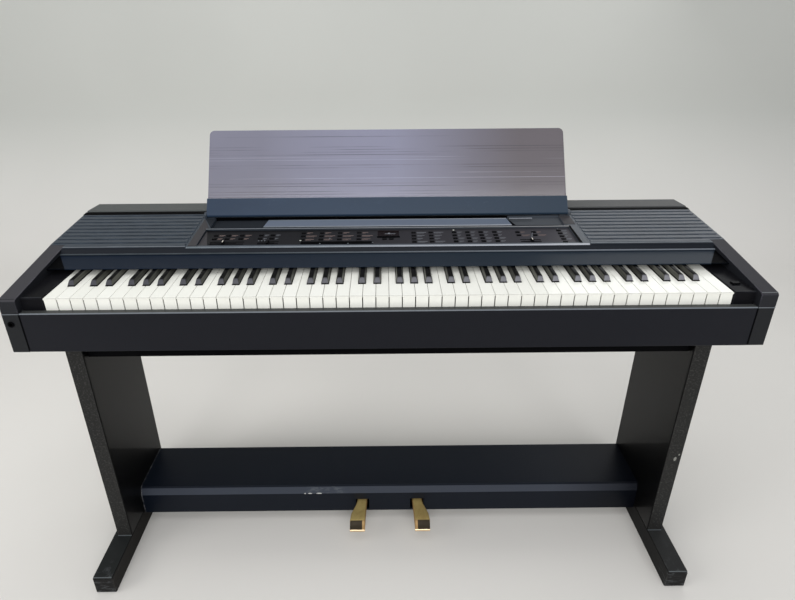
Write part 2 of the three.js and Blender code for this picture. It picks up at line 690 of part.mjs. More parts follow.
function sliderKnob({ columnShare, setting }) {
  const x = panelX(columnShare) + setting;
  const y = panelY(sliderRowShare);
  const capBottom = -panel.sunk + knob.above;
  const footTop = -panel.sunk - panel.sheet - knob.footDrop;
  const top = block(around(x, knob.width), around(y, knob.depth), [capBottom, capBottom + knob.height]);
  const stem = block(around(x, knob.stemWidth), around(y, knob.stemDepth), [footTop - knob.footHeight / 2, capBottom + knob.height / 2]);
  const foot = block(around(x, knob.footWidth), around(y, knob.footDepth), [footTop - knob.footHeight, footTop]);
  return joined(top, stem, foot);
}

// Music rest, in the frame of its pins: X along them, Z up the sheet
function musicRestBar() {
  const { front, back, heel, height, grooveFloor } = restBar;
  const grooveFront = restSheet.setBack - restSheet.thickness / 2 - seatGap;
  const grooveBack = restSheet.setBack + restSheet.thickness / 2 + seatGap;
  const shape = new THREE.Shape();
  shape.moveTo(-heel, 0);
  shape.absarc(0, 0, heel, Math.PI, 2 * Math.PI, false);
  shape.lineTo(back, height);
  shape.lineTo(grooveBack, height);
  shape.lineTo(grooveBack, grooveFloor);
  shape.lineTo(grooveFront, grooveFloor);
  shape.lineTo(grooveFront, height);
  shape.lineTo(-front, height);
  const pins = [-1, 1].map((side) => {
    const [left, right] = span(side, restHalf - overrun, restHalf + restPin.length);
    return rodAlongX(restPin.radius, left, right, 0, 0);
  });
  return joined(alongX(shape, -restHalf, restHalf), ...pins);
}

function musicRestSheet() {
  const { top, corner, thickness, setBack } = restSheet;
  const half = restHalf - restSheet.side;
  const bottom = restBar.grooveFloor + seatGap;
  const shape = new THREE.Shape();
  shape.moveTo(-half, bottom);
  shape.lineTo(half, bottom);
  shape.lineTo(half, top - corner);
  shape.absarc(half - corner, top - corner, corner, 0, Math.PI / 2, false);
  shape.lineTo(-half + corner, top);
  shape.absarc(-half + corner, top - corner, corner, Math.PI / 2, Math.PI, false);
  return alongY(shape, setBack - thickness / 2, setBack + thickness / 2, 5);
}

// Stand
function leg(side) {
  const [left, right] = span(side, legInner, legOuter);
  return block([left, right], [legFront, legFront + legDepth], [footHeight + seatGap, bodyUnderside - seatGap]);
}

function foot(side) {
  const edge = footChamfer;
  const front = legFront - footAhead;
  const back = legFront + legDepth + footBehind;
  const profile = [
    [front + edge, 0], [front, edge], [front, footHeight - edge], [front + edge, footHeight],
    [back - edge, footHeight], [back, footHeight - edge], [back, edge], [back - edge, 0],
  ];
  const [left, right] = span(side, legInner, legInner + footWidth);
  return alongX(profile, left, right);
}

function frontApron() {
  const half = legInner - seatGap;
  const top = bodyUnderside - seatGap;
  const front = legFront + apron.behindLeg;
  return block([-half, half], [front, front + apron.thickness], [top - apron.height, top]);
}

function pedalBeam() {
  const { bottom, wall, bevelDrop, bevelDepth } = pedalBox;
  const half = legInner - seatGap;
  const front = pedalBoxFront;
  const back = front + pedalBox.depth;
  const top = pedalBoxTop;
  const bevelFoot = top - bevelDrop;
  const profile = [
    [front, bottom], [front, bevelFoot], [front + bevelDepth, top], [back, top], [back, bottom], [back - wall, bottom],
    [back - wall, top - wall], [front + bevelDepth + wall / 2, top - wall], [front + wall, bevelFoot], [front + wall, bottom],
  ];
  const ribFront = shaftY - pedalBox.ribAhead;
  const ribFoot = bottom + pedalBox.ribRise;
  const ribBack = back - pedalBox.ribInset;
  const ribTop = top - pedalBox.ribInset;
  const ribProfile = [[ribFront, ribFoot], [ribBack, ribFoot], [ribBack, ribTop], [ribFront, ribTop]];
  const ribs = [-1, 1].map((side) => alongX(ribProfile, ...span(side, pedalRib, pedalRib + pedalBox.ribThickness)));
  const slotFoot = bottom + pedalBox.slotRise;
  const slots = [-1, 1].map((side) => {
    const sides = span(side, pedal.neckInner - pedalBox.slotSide, pedalNeckOuter + pedalBox.slotSide);
    return block(sides, [front - overrun, front + wall + overrun], [slotFoot, slotFoot + pedalBox.slotHeight]);
  });
  const boreEnd = shaftEnd() + overrun;
  const bore = rodAlongX(shaft.radius + seatGap, -boreEnd, boreEnd, shaftY, shaftZ);
  return cut(joined(alongX(profile, -half, half), ...ribs), bore, ...slots);
}

function shaftEnd() {
  return pedalRib + pedalBox.ribThickness + shaft.overhang;
}

// The outline of one pedal seen from above: a straight neck that flares outwards to the toe
function pedalPlan(side) {
  const heel = shaftY + pedal.tail;
  const toe = shaftY - pedal.reach;
  const neckEnd = shaftY - pedal.neckEnd;
  const flare = shaftY - pedal.flare;
  const toeOuter = pedal.toeInner + pedal.toeWidth;
  const shape = new THREE.Shape();
  shape.moveTo(side * pedal.neckInner, heel);
  shape.lineTo(side * pedal.neckInner, neckEnd);
  shape.lineTo(side * pedal.toeInner, toe);
  shape.lineTo(side * toeOuter, toe);
  const handle = flare + (neckEnd - flare) / 2;
  shape.bezierCurveTo(side * toeOuter, flare, side * pedalNeckOuter, handle, side * pedalNeckOuter, neckEnd);
  shape.lineTo(side * pedalNeckOuter, heel);
  return shape;
}

function pedalLever(side) {
  const { nose, toeTop, toeBottom, neckTop, neckBottom } = pedal;
  const tail = pedal.tailThickness / 2;
  const heel = shaftY + pedal.tail;
  const toe = shaftY - pedal.reach;
  const neckEnd = shaftY - pedal.neckEnd;
  const flare = shaftY - pedal.flare;
  const profile = [
    [heel, shaftZ - tail], [neckEnd, neckBottom], [flare, toeBottom + nose],
    [toe + nose, toeBottom], [toe, toeBottom + nose], [toe, toeTop - nose],
    [toe + nose, toeTop], [flare, toeTop + nose / 2], [neckEnd, neckTop], [heel, shaftZ + tail],
  ];
  const inner = pedal.neckInner - overrun;
  const outer = pedal.toeInner + pedal.toeWidth + overrun;
  const sideView = alongX(profile, ...span(side, inner, outer));
  const planView = alongZ(pedalPlan(side), toeBottom - overrun, shaftZ + pedal.tailThickness, 6);
  const boss = rodAlongX(pedal.boss, ...span(side, pedal.neckInner, pedalNeckOuter), shaftY, shaftZ);
  const bore = rodAlongX(shaft.radius + seatGap, ...span(side, inner, outer), shaftY, shaftZ);
  return cut(joined(common(sideView, planView), boss), bore);
}

// Electronics
function mainCircuit() {
  const { half, depth, sheet, post, postWidth, chipWidth, chipHeight, chipPitch } = mainBoard;
  const front = bodyDepth - mainBoard.fromBack - depth;
  const bottom = frameBase + post;
  const board = block([-half, half], [front, front + depth], [bottom, bottom + sheet]);
  const posts = [];
  for (const x of [-half + postWidth, half - postWidth]) {
    for (const y of [front + postWidth, front + depth - postWidth]) {
      posts.push(block(around(x, postWidth), around(y, postWidth), [frameBase, bottom + sheet / 2]));
    }
  }
  const chips = [-1, 0, 1].map((step) => block(around(step * chipPitch, chipWidth), around(front + depth / 2, chipWidth),
    [bottom + sheet / 2, bottom + chipHeight]));
  return joined(board, ...posts, ...chips);
}

function powerSupply() {
  const { width, depth, plate, coreWidth, coreDepth, coreHeight } = supply;
  const left = bodyHalf - supply.fromSide - width;
  const front = bodyDepth - supply.fromBack - depth;
  const middleX = left + width / 2;
  const middleY = front + depth / 2;
  const base = block([left, left + width], [front, front + depth], [frameBase, frameBase + plate]);
  const core = block(around(middleX, coreWidth), around(middleY, coreDepth), [frameBase + plate / 2, frameBase + coreHeight]);
  const winding = block(around(middleX, supply.windingWidth), around(middleY, supply.windingDepth),
    [frameBase + supply.windingBottom, frameBase + supply.windingTop]);
  return joined(base, core, winding);
}

function powerInlet() {
  const face = bodyDepth + seatGap;
  const shell = block(around(inletX, inlet.width), [face - inlet.depth, face + inlet.flangeThickness / 2], around(inletZ, inlet.height));
  const flange = block(around(inletX, inlet.flangeWidth), [face, face + inlet.flangeThickness], around(inletZ, inlet.flangeHeight));
  const wall = inlet.flangeThickness;
  const socket = block(around(inletX, inlet.width - 2 * wall), [face - inlet.depth + wall, face + overrun],
    around(inletZ, inlet.height - 2 * wall));
  return cut(joined(shell, flange), socket);
}

// Assembly
bothSides((label, side) => {
  place(instrument, `side_panel_${label}`, sidePanel(side), finishes.caseVinyl);
  place(instrument, `side_cap_${label}`, sideCap(side), finishes.armTop);
  place(instrument, `key_block_${label}`, endBlock(side), finishes.railSatin);
  place(instrument, `leg_${label}`, leg(side), finishes.caseVinyl);
  place(instrument, `foot_${label}`, foot(side), finishes.caseVinyl);
  place(instrument, `pedal_${label}`, pedalLever(side), finishes.brass);
  place(lid, `grille_${label}`, grillePlate(side), finishes.lidPlastic);
  place(lid, `speaker_${label}`, speakerDriver(side), finishes.cone);
});

place(instrument, 'front_rail', frontRail(), finishes.railSatin);
place(instrument, 'bottom_board', bottomBoard(), finishes.caseVinyl);
place(instrument, 'back_panel', backBoard(), finishes.caseVinyl);
place(instrument, 'rear_cover', rearCoverSkin(), finishes.lidPlastic);
place(instrument, 'lid_lip', lidLip(), finishes.lidPlastic);
place(instrument, 'fallboard', fallboardStrip(), finishes.fallboardBlue);
place(instrument, 'power_switch', switchButton(), finishes.capGrey);
place(instrument, 'headphone_jack', headphoneJack(), finishes.steel);
place(instrument, 'key_frame', keyFramePlate(), finishes.sheetSteel);
place(instrument, 'front_apron', frontApron(), finishes.railSatin);
place(instrument, 'pedal_box', pedalBeam(), finishes.railSatin);
place(instrument, 'pedal_shaft', rodAlongX(shaft.radius, -shaftEnd(), shaftEnd(), shaftY, shaftZ), finishes.steel);
place(instrument, 'main_board', mainCircuit(), finishes.board);
place(instrument, 'power_supply', powerSupply(), finishes.core);
place(instrument, 'power_inlet', powerInlet(), finishes.capGrey);

let first = 0;
for (let number = 1; number <= combCount; number += 1) {
  const end = number < combCount ? firstCombCount + (number - 1) * letterCount : whiteCount;
  place(instrument, `white_keys_${number}`, whiteComb(first, end), finishes.ivory);
  place(instrument, `black_keys_${number}`, blackComb(first, end), finishes.ebony);
  first = end;
}

place(lid, 'console_frame', consoleShell(), finishes.lidPlastic);
place(lid, 'control_panel', controlPanel(), finishes.panelPlastic);
place(lid, 'display_window', displayWindow(), finishes.displayRed);
place(lid, 'panel_board', switchBoard(), finishes.board);
for (const [name, group] of Object.entries(buttonGroups)) place(lid, name, buttonMat(group), finishes.capGrey);
for (const [name, slider] of Object.entries(sliders)) place(lid, name, sliderKnob(slider), finishes.knobWhite);

const restGroup = new THREE.Group();
restGroup.position.set(0, restPivot, rest.pivotAbove);
restGroup.rotation.x = -lidSlope - rest.lean;
lid.add(restGroup);
place(restGroup, 'rest_bar', musicRestBar(), finishes.barSlate);
place(restGroup, 'rest_sheet', musicRestSheet(), finishes.smoke);

// The origin is on the floor under the middle of the whole instrument
piano.updateMatrixWorld(true);
const reach = new THREE.Box3().setFromObject(piano, true);
instrument.position.y = -(reach.min.y + reach.max.y) / 2;

export default piano;
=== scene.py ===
# %% [markdown]
# # Dressing an electric piano for its portrait
# The solids of this instrument come from CAD and already have their real sizes and places. This
# lesson leaves them where they are and gives them what CAD doesn't have: worn vinyl, ribbed
# plastic, ivory-white and gloss-black keys, a smoky clear music rest and old brass pedals.

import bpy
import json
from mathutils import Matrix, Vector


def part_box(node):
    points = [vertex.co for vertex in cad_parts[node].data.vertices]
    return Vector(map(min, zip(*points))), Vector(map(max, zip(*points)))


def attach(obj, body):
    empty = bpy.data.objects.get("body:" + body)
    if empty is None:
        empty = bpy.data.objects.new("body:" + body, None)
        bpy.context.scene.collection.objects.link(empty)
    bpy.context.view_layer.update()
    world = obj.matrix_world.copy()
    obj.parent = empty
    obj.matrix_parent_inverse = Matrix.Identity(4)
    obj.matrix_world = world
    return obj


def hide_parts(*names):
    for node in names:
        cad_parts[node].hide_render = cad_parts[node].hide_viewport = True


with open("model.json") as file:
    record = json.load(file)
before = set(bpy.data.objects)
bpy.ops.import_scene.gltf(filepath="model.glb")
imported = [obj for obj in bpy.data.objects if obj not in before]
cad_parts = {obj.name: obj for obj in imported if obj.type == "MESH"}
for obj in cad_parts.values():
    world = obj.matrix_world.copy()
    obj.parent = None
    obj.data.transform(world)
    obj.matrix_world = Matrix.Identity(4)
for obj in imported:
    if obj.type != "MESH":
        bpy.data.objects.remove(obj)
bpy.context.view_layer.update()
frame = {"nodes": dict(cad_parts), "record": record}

# %% [markdown]
# ## The camera
# A photograph fixes the camera: its height, its tilt and how wide it sees. A lens in pixels turns
# into a lens in millimetres through the sensor's width, and the small shift stands for a picture
# that was cropped away from the middle of the lens.

# %% Set up the camera
import json
import math

import bmesh
import bpy
from mathutils import Matrix, Vector

PHOTO_WIDTH = 795
LENS_PIXELS = 527.3
LENS_CENTRE = (-12.2, -73.8)
EYE = Vector((-0.0088, -0.9566, 1.1330))
YAW, PITCH, ROLL = 0.00365, 0.3949, -0.00724

forward = Vector((math.sin(YAW) * math.cos(PITCH), math.cos(YAW) * math.cos(PITCH), -math.sin(PITCH)))
level_right = Vector((math.cos(YAW), -math.sin(YAW), 0))
level_up = level_right.cross(forward)
right = math.cos(ROLL) * level_right + math.sin(ROLL) * level_up
up = math.cos(ROLL) * level_up - math.sin(ROLL) * level_right

lens = bpy.data.cameras.new("portrait_lens")
lens.sensor_width = 36
lens.lens = LENS_PIXELS * lens.sensor_width / PHOTO_WIDTH
lens.shift_x = -LENS_CENTRE[0] / PHOTO_WIDTH
lens.shift_y = LENS_CENTRE[1] / PHOTO_WIDTH
lens.clip_start, lens.clip_end = 0.05, 50
camera = bpy.data.objects.new("portrait_camera", lens)
camera.matrix_world = Matrix.Translation(EYE) @ Matrix((right, up, -forward)).transposed().to_4x4()
bpy.context.scene.collection.objects.link(camera)
bpy.context.scene.camera = camera
print("lens:", round(lens.lens, 2), "mm")

# %% [markdown]
# ## Floor, backdrop and light
# A dark, satin instrument shows mostly what it reflects, so it wants big soft lamps and a pale
# room. The floor and the backdrop are one swept sheet. Lamps that are too strong would burn out
# the white keys, so their strengths stay low and the sheet's own colour makes the background pale.

# %% Build the stage and the lamps
scene = bpy.context.scene
scene.view_settings.view_transform = "Standard"

SHEET_FRONT, SHEET_BACK, SHEET_HALF, SHEET_TOP = -6.0, 1.9, 9.0, 6.0
SWEEP_RADIUS = 0.7
SWEEP_STEPS = 16
WHITE_LIGHT, WARM_LIGHT, COOL_LIGHT = (1.0, 1.0, 1.0), (1.0, 0.985, 0.96), (0.97, 0.98, 1.0)
LAMPS = [
    # name, place, what it points at, width and height, watts, tint
    ("lamp_overhead", (-0.3, 0.1, 3.0), (0, 0.1, 0.6), (3.2, 2.0), 27, WHITE_LIGHT),
    ("lamp_front", (0.1, -3.2, 2.3), (0, 0, 0.6), (3.6, 1.8), 84, WHITE_LIGHT),
    ("lamp_left", (-3.0, -1.2, 2.0), (-0.3, 0, 0.5), (1.6, 2.0), 26, WARM_LIGHT),
    ("lamp_right_rear", (1.5, 1.5, 1.75), (0.5, 0.1, 0.7), (1.2, 0.8), 6, COOL_LIGHT),
]


def link(thing):
    scene.collection.objects.link(thing)
    return thing


def mesh_object(name, corners, faces):
    mesh = bpy.data.meshes.new(name)
    mesh.from_pydata(corners, [], faces)
    mesh.validate()
    return link(bpy.data.objects.new(name, mesh))


def swept_stage():
    bend = SHEET_BACK - SWEEP_RADIUS
    profile = [(SHEET_FRONT, 0.0), (bend, 0.0)]
    for step in range(1, SWEEP_STEPS + 1):
        angle = math.pi / 2 * step / SWEEP_STEPS
        profile.append((bend + SWEEP_RADIUS * math.sin(angle), SWEEP_RADIUS - SWEEP_RADIUS * math.cos(angle)))
    profile.append((SHEET_BACK, SHEET_TOP))
    corners = [(x, y, z) for y, z in profile for x in (-SHEET_HALF, SHEET_HALF)]
    faces = [(2 * i, 2 * i + 1, 2 * i + 3, 2 * i + 2) for i in range(len(profile) - 1)]
    sheet = mesh_object("stage_sheet", corners, faces)
    for polygon in sheet.data.polygons:
        polygon.use_smooth = True
    return sheet


def soft_lamp(name, place, aim, size, watts, tint):
    lamp = bpy.data.lights.new(name, "AREA")
    lamp.shape = "RECTANGLE"
    lamp.size, lamp.size_y = size
    lamp.energy = watts
    lamp.color = tint
    holder = link(bpy.data.objects.new(name, lamp))
    holder.location = place
    holder.rotation_mode = "QUATERNION"
    holder.rotation_quaternion = (Vector(aim) - Vector(place)).to_track_quat("-Z", "Y")


stage = swept_stage()
for row in LAMPS:
    soft_lamp(*row)
print("lamps:", len(LAMPS))

# %% [markdown]
# ## Writing shaders as sums
# Material nodes are easier to read as arithmetic. The class below wraps one output of a node, and
# its operators add the Math nodes: `1 - mask * 0.5` becomes a subtraction and a product. Numbers
# alone never reach the shader this way, because Python works them out first.

# %% Define wires
class Wire:
    """One output of a shader node, which can be added, multiplied and compared."""

    def __init__(self, recipe, socket):
        self.recipe = recipe
        self.socket = socket

    def combine(self, operation, first, second):
        return self.recipe.node("ShaderNodeMath", {"operation": operation}, {0: first, 1: second})

    def __add__(self, other):
        return self.combine("ADD", self, other)

    __radd__ = __add__

    def __sub__(self, other):
        return self.combine("SUBTRACT", self, other)

    def __rsub__(self, other):
        return self.combine("SUBTRACT", other, self)

    def __mul__(self, other):
        return self.combine("MULTIPLY", self, other)

    __rmul__ = __mul__

    def __truediv__(self, other):
        return self.combine("DIVIDE", self, other)

    def __gt__(self, other):
        return self.combine("GREATER_THAN", self, other)

    def __lt__(self, other):
        return self.combine("LESS_THAN", self, other)

    def clamped(self):
        return self.recipe.node("ShaderNodeClamp", {}, {"Value": self})


def tone(colour):
    """Screen values, turned into the linear values that shaders use."""
    if isinstance(colour, Wire) or len(colour) == 4:
        return colour
    return tuple(v / 12.92 if v <= 0.04045 else ((v + 0.055) / 1.055) ** 2.4 for v in colour) + (1.0,)


def shade(colour, factor):
    """The same colour with more or less light on it."""
    return tuple(level * factor for level in tone(colour)[:3]) + (1.0,)


print("half grey, linear:", [round(level, 3) for level in tone((0.5, 0.5, 0.5))])

# %% [markdown]
# ## Recipes
# A finish is a recipe: a first colour, other colours laid over it through masks, and at the end
# one roughness and a little relief. Masks come from what a point knows about itself, which is its
# place, the way its surface looks, how near an edge is, and noise for everything that chance did.

# %% Define recipes
class Recipe:
    """One material under construction: its node tree, and the colour that it has so far."""

    def __init__(self, name):
        self.material = bpy.data.materials.new(name)
        self.material.use_nodes = True
        self.tree = self.material.node_tree
        self.tree.nodes.clear()
        self.place = self.node("ShaderNodeTexCoord", {}, {}, "Object")
        self.body = None

    def node(self, kind, settings, sockets, output=0):
        """Adds any node: its settings first, then the values or wires of its sockets."""
        made = self.tree.nodes.new(kind)
        for key, value in settings.items():
            if key == "stops":
                self.set_stops(made.color_ramp, value)
            else:
                setattr(made, key, value)
        for key, value in sockets.items():
            if isinstance(value, Wire):
                self.tree.links.new(value.socket, made.inputs[key])
            else:
                made.inputs[key].default_value = value
        if not made.outputs:
            return made
        return Wire(self, made.outputs[output])

    def set_stops(self, ramp, stops):
        while len(ramp.elements) < len(stops):
            ramp.elements.new(1.0)
        for element, (position, colour) in zip(ramp.elements, stops):
            element.position = position
            element.color = colour

    def at(self, axis):
        """The point's coordinate along an axis, in metres."""
        return self.node("ShaderNodeSeparateXYZ", {}, {"Vector": self.place}, axis)

    def looks(self, axis):
        """How far the surface looks along an axis: 1 straight along it, and -1 against it."""
        normal = self.node("ShaderNodeNewGeometry", {}, {}, "Normal")
        return self.node("ShaderNodeSeparateXYZ", {}, {"Vector": normal}, axis)

    def noise(self, scale, detail=3.0, roughness=0.55, stretch=(1, 1, 1), distortion=0.0):
        place = self.node("ShaderNodeMapping", {}, {"Vector": self.place, "Scale": stretch})
        return self.node("ShaderNodeTexNoise", {}, {
            "Vector": place, "Scale": scale, "Detail": detail, "Roughness": roughness,
            "Distortion": distortion})

    def ramp(self, value, start, end, first=0.0, last=1.0):
        """The first level where the value is below the start, and the last one above the end."""
        stops = [(start, (first, first, first, 1)), (end, (last, last, last, 1))]
        return self.node("ShaderNodeValToRGB", {"stops": stops}, {"Fac": value})

    def patches(self, start, end, *noise, least=0.0):
        """Noise that a ramp turns into patches."""
        return self.ramp(self.noise(*noise), start, end, least)

    def dice(self, value):
        """A random level for each whole step of a value."""
        count = self.node("ShaderNodeMath", {"operation": "FLOOR"}, {0: value})
        return self.node("ShaderNodeTexWhiteNoise", {"noise_dimensions": "1D"}, {"W": count}, "Value")

    def edges(self, radius, softness=0.25):
        """Near 1 where the surface turns within the radius, and 0 on flat ground."""
        turned = self.node("ShaderNodeBevel", {"samples": 4}, {"Radius": radius})
        flat = self.node("ShaderNodeNewGeometry", {}, {}, "Normal")
        same = self.node("ShaderNodeVectorMath", {"operation": "DOT_PRODUCT"}, {0: turned, 1: flat}, "Value")
        return ((1 - same) / softness).clamped()

    def spot(self, centre, radii, grain=240.0):
        """1 inside a spot around a place, whose edge noise moves between 0.2 and 1.8 radii."""
        away = self.node("ShaderNodeVectorMath", {"operation": "SUBTRACT"}, {0: self.place, 1: centre})
        scaled = self.node("ShaderNodeVectorMath", {"operation": "DIVIDE"}, {0: away, 1: radii})
        distance = self.node("ShaderNodeVectorMath", {"operation": "LENGTH"}, {0: scaled}, "Value")
        return distance < self.noise(grain, 3.0, 0.7) * 1.6 + 0.2

    def mix(self, factor, first, second):
        """Two colours through a Mix node. Its inputs 6 and 7 and its output 2 are the colour ones."""
        return self.node("ShaderNodeMix", {"data_type": "RGBA"},
                         {0: factor, 6: tone(first), 7: tone(second)}, 2)

    def paint(self, mask, colour):
        """Lays a colour over what is there, as far as the mask allows."""
        self.body = self.mix(mask, self.body, colour)

    def bump(self, height, strength, distance):
        return self.node("ShaderNodeBump", {}, {"Height": height, "Strength": strength, "Distance": distance})

    def finish(self, roughness, relief=None, shine=0.5, extra=()):
        """Feeds the colour, a roughness, a Bump node and any extra sockets to one shader."""
        if isinstance(roughness, Wire):
            roughness = roughness.clamped()
        sockets = {"Base Color": self.body, "Roughness": roughness, "Specular IOR Level": shine}
        sockets.update(extra)
        if relief:
            sockets["Normal"] = relief
        shader = self.node("ShaderNodeBsdfPrincipled", {}, sockets)
        self.node("ShaderNodeOutputMaterial", {}, {"Surface": shader})
        return self.material


print("recipe steps:", [step for step in vars(Recipe) if not step.startswith("_")])

# %% [markdown]
# ## The pale sheet and the room's light
# The stage only has to look pale to the camera and soft in reflections. Its colour does that. The
# world adds an even grey light, so that no side of the instrument falls into black.

# %% Finish the stage and the world
WALL_STARTS, WALL_FULL = 0.0, 0.6


def stage_finish():
    recipe = Recipe("pale_sheet")
    cloudy = recipe.noise(0.9, 2.0, 0.5)
    floor_tone = recipe.mix(cloudy, (0.83, 0.82, 0.8), (0.88, 0.87, 0.85))
    wall_tone = recipe.mix(cloudy, (0.735, 0.74, 0.72), (0.785, 0.79, 0.77))
    recipe.body = recipe.mix(recipe.ramp(recipe.at("Z"), WALL_STARTS, WALL_FULL), floor_tone, wall_tone)
    return recipe.finish(0.75, shine=0.3)


stage.data.materials.append(stage_finish())
world = bpy.data.worlds.new("soft_room")
world.use_nodes = True
scene.world = world
background = world.node_tree.nodes["Background"]
background.inputs["Color"].default_value = (0.93, 0.95, 1.0, 1.0)
background.inputs["Strength"].default_value = 0.5
print("world strength:", background.inputs["Strength"].default_value)

# %% [markdown]
# ## Vinyl, paint and moulded plastic
# Most of the case is board under dark vinyl, with moulded plastic on top. They differ in colour,
# in the size of the grain and in how the edges have worn. One function makes them all: a slow
# cloud varies the colour, a fine grain drives the bump, and the edge mask lightens rubbed corners.
# A second colour can take over on faces that look up, or toward the right. Both are painted
# light: lighter or darker where more or less light falls.

# %% Define the covered finishes
EDGE_RUB = 0.0025
LOOKS_UP = 0.6
X_SHIFT = 0.5
finishes = {}


def covered(look, name, colour, roughness, grain, depth, cloud, wear, shine=0.25, worn=None,
            stretch=(1, 1, 1), scuffs=0.12, top=None, right=None, right_light_span=(0.2, 0.85)):
    recipe = Recipe(name)
    worn = worn or shade(colour, 2.6)
    slow = recipe.noise(5.0, 4.0, 0.6, stretch)
    fine = recipe.noise(grain, 3.0, 0.6, stretch)
    rubbed = recipe.edges(EDGE_RUB)
    recipe.body = recipe.mix(slow, shade(colour, 1 - cloud), shade(colour, 1 + cloud))
    # painted light: faces that look up get a lighter colour, and toward the right a colour of more or less
    # light takes over
    if top:
        recipe.paint(recipe.looks("Z") > LOOKS_UP, top)
    if right:
        recipe.paint(recipe.ramp(recipe.at("X") + X_SHIFT, *right_light_span), right)
    recipe.paint(fine * 0.35, shade(colour, 1.5))
    scratch_stretch = (stretch[0] * 1.4, 0.25 + stretch[1], 0.4 + stretch[2])
    recipe.paint(recipe.patches(0.62, 0.72, 60.0, 6.0, 0.75, scratch_stretch, 0.6) * scuffs, worn)
    recipe.paint(rubbed * recipe.patches(0.4, 0.65, 35.0, 3.0, least=0.15) * wear, worn)
    rough = roughness + (slow - 0.5) * 0.16 + fine * 0.06 - rubbed * 0.08
    finishes[look] = recipe.finish(rough, recipe.bump(fine, 0.6, depth), shine)


# look, material, colour, roughness, grain, its depth in metres, cloud, wear, shine
# the lighter colours on top of the case, the arms and the rail are painted light
covered("case_vinyl", "case_vinyl", (0.1, 0.106, 0.116), 0.5, 700, 1.4e-4, 0.22, 1.0, 0.14,
        worn=(0.3, 0.31, 0.32), stretch=(1, 1, 0.35), top=(0.2, 0.2, 0.195))
covered("arm_top", "arm_vinyl", (0.11, 0.115, 0.13), 0.52, 520, 2e-4, 0.2, 1.0, 0.15,
        worn=(0.38, 0.37, 0.42), top=(0.2, 0.197, 0.212))
# the left arm's own copy is painted lighter on top and at its edges: painted light from the left
covered("arm_top_left_lit", "arm_vinyl_left_lit", (0.11, 0.115, 0.13), 0.52, 520, 2e-4, 0.2, 1.0, 0.15,
        worn=(0.4, 0.39, 0.43), top=(0.24, 0.236, 0.25))
covered("rail_satin", "rail_paint", (0.066, 0.072, 0.096), 0.3, 1100, 4e-5, 0.25, 0.6, 0.13,
        stretch=(0.3, 1, 1), top=(0.25, 0.255, 0.25))
covered("block_black", "key_block_black", (0.07, 0.07, 0.08), 0.28, 1000, 4e-5, 0.5, 0.8, 0.03,
        worn=(0.26, 0.27, 0.3), stretch=(1, 0.15, 1))
# the colours toward the right on the fallboard and the rear cover are painted light
covered("fallboard_blue", "fallboard_strip", (0.06, 0.095, 0.145), 0.36, 1000, 4e-5, 0.3, 0.3, 0.1,
        stretch=(0.4, 1, 1), right=(0.11, 0.145, 0.18), right_light_span=(0.15, 0.6))
covered("rear_grey", "rear_cover_grey", (0.25, 0.262, 0.262), 0.45, 900, 8e-5, 0.12, 0.3, 0.3,
        right=(0.22, 0.22, 0.225))
# pale strips along edges: painted highlights with some wear in them, in a brighter and a dimmer copy
covered("edge_highlight_worn", "worn_edge_highlight", (0.3, 0.32, 0.33), 0.4, 600, 1e-4, 0.6, 0.2, 0.3,
        worn=(0.55, 0.57, 0.58), stretch=(3, 1, 1))
covered("edge_highlight_faint", "dim_edge_highlight", (0.13, 0.135, 0.15), 0.4, 500, 1e-4, 0.8, 0.2, 0.1,
        worn=(0.4, 0.41, 0.43), stretch=(5, 1, 1), scuffs=0.6)
covered("deep_black", "deep_black", (0.01, 0.011, 0.016), 0.6, 900, 6e-5, 0.2, 0.1, 0.03, scuffs=0.02)
print("case finishes:", len(finishes))

# %% [markdown]
# The lid is moulded plastic with a fine grain, and the panel in it is darker and smoother. The
# trim strips are pale lines whose colour is mostly painted highlight along edges, so they are
# covered finishes too, and only their grain runs along X. Colours toward the right are painted light.

# %% Define the finishes of the lid and its trim
ALONG_X = (0.2, 1, 1)

# the order is the same: look, material, colour, roughness, grain, depth, cloud, wear, shine
# the colours toward the right on the lid and the panel are painted light and reflection
covered("lid_plastic", "lid_plastic", (0.18, 0.208, 0.24), 0.42, 900, 1e-4, 0.14, 0.7, 0.36,
        right=(0.262, 0.278, 0.302))
covered("lip_dark", "lip_dark", (0.07, 0.085, 0.11), 0.42, 900, 6e-5, 0.2, 0.5, 0.12)
covered("panel_plastic", "panel_plastic", (0.075, 0.075, 0.085), 0.45, 1400, 8e-5, 0.15, 0.2, 0.14,
        right=(0.245, 0.24, 0.26), right_light_span=(0.32, 0.85))
covered("cap_grey", "button_cap", (0.02, 0.02, 0.025), 0.42, 1500, 4e-5, 0.1, 0.2, 0.08, scuffs=0.05)
covered("knob_pale", "pale_knob", (0.78, 0.76, 0.72), 0.4, 1500, 4e-5, 0.06, 0.2,
        worn=(0.9, 0.88, 0.84), scuffs=0.05)
# painted reflection: the rest bar's strong cloud and its darker right side
covered("bar_slate", "rest_bar_slate", (0.14, 0.2, 0.275), 0.34, 900, 6e-5, 0.55, 0.8, 0.22,
        worn=(0.35, 0.4, 0.46), stretch=(0.5, 1, 1), right=(0.13, 0.185, 0.235))
covered("book_blue", "book_strip_blue", (0.345, 0.38, 0.435), 0.4, 900, 5e-5, 0.12, 0.3, 0.3)
covered("tray_grey", "tray_grey", (0.27, 0.283, 0.3), 0.6, 900, 1.2e-4, 0.25, 0.2, 0.2)
# painted shade: a darker tray grey for the parts of the tray in shade
covered("tray_shaded", "tray_shaded", (0.115, 0.13, 0.15), 0.6, 900, 1.2e-4, 0.3, 0.2, 0.12)
covered("frame_brown", "frame_brown", (0.2, 0.195, 0.205), 0.5, 900, 1e-4, 0.25, 0.3, 0.2)
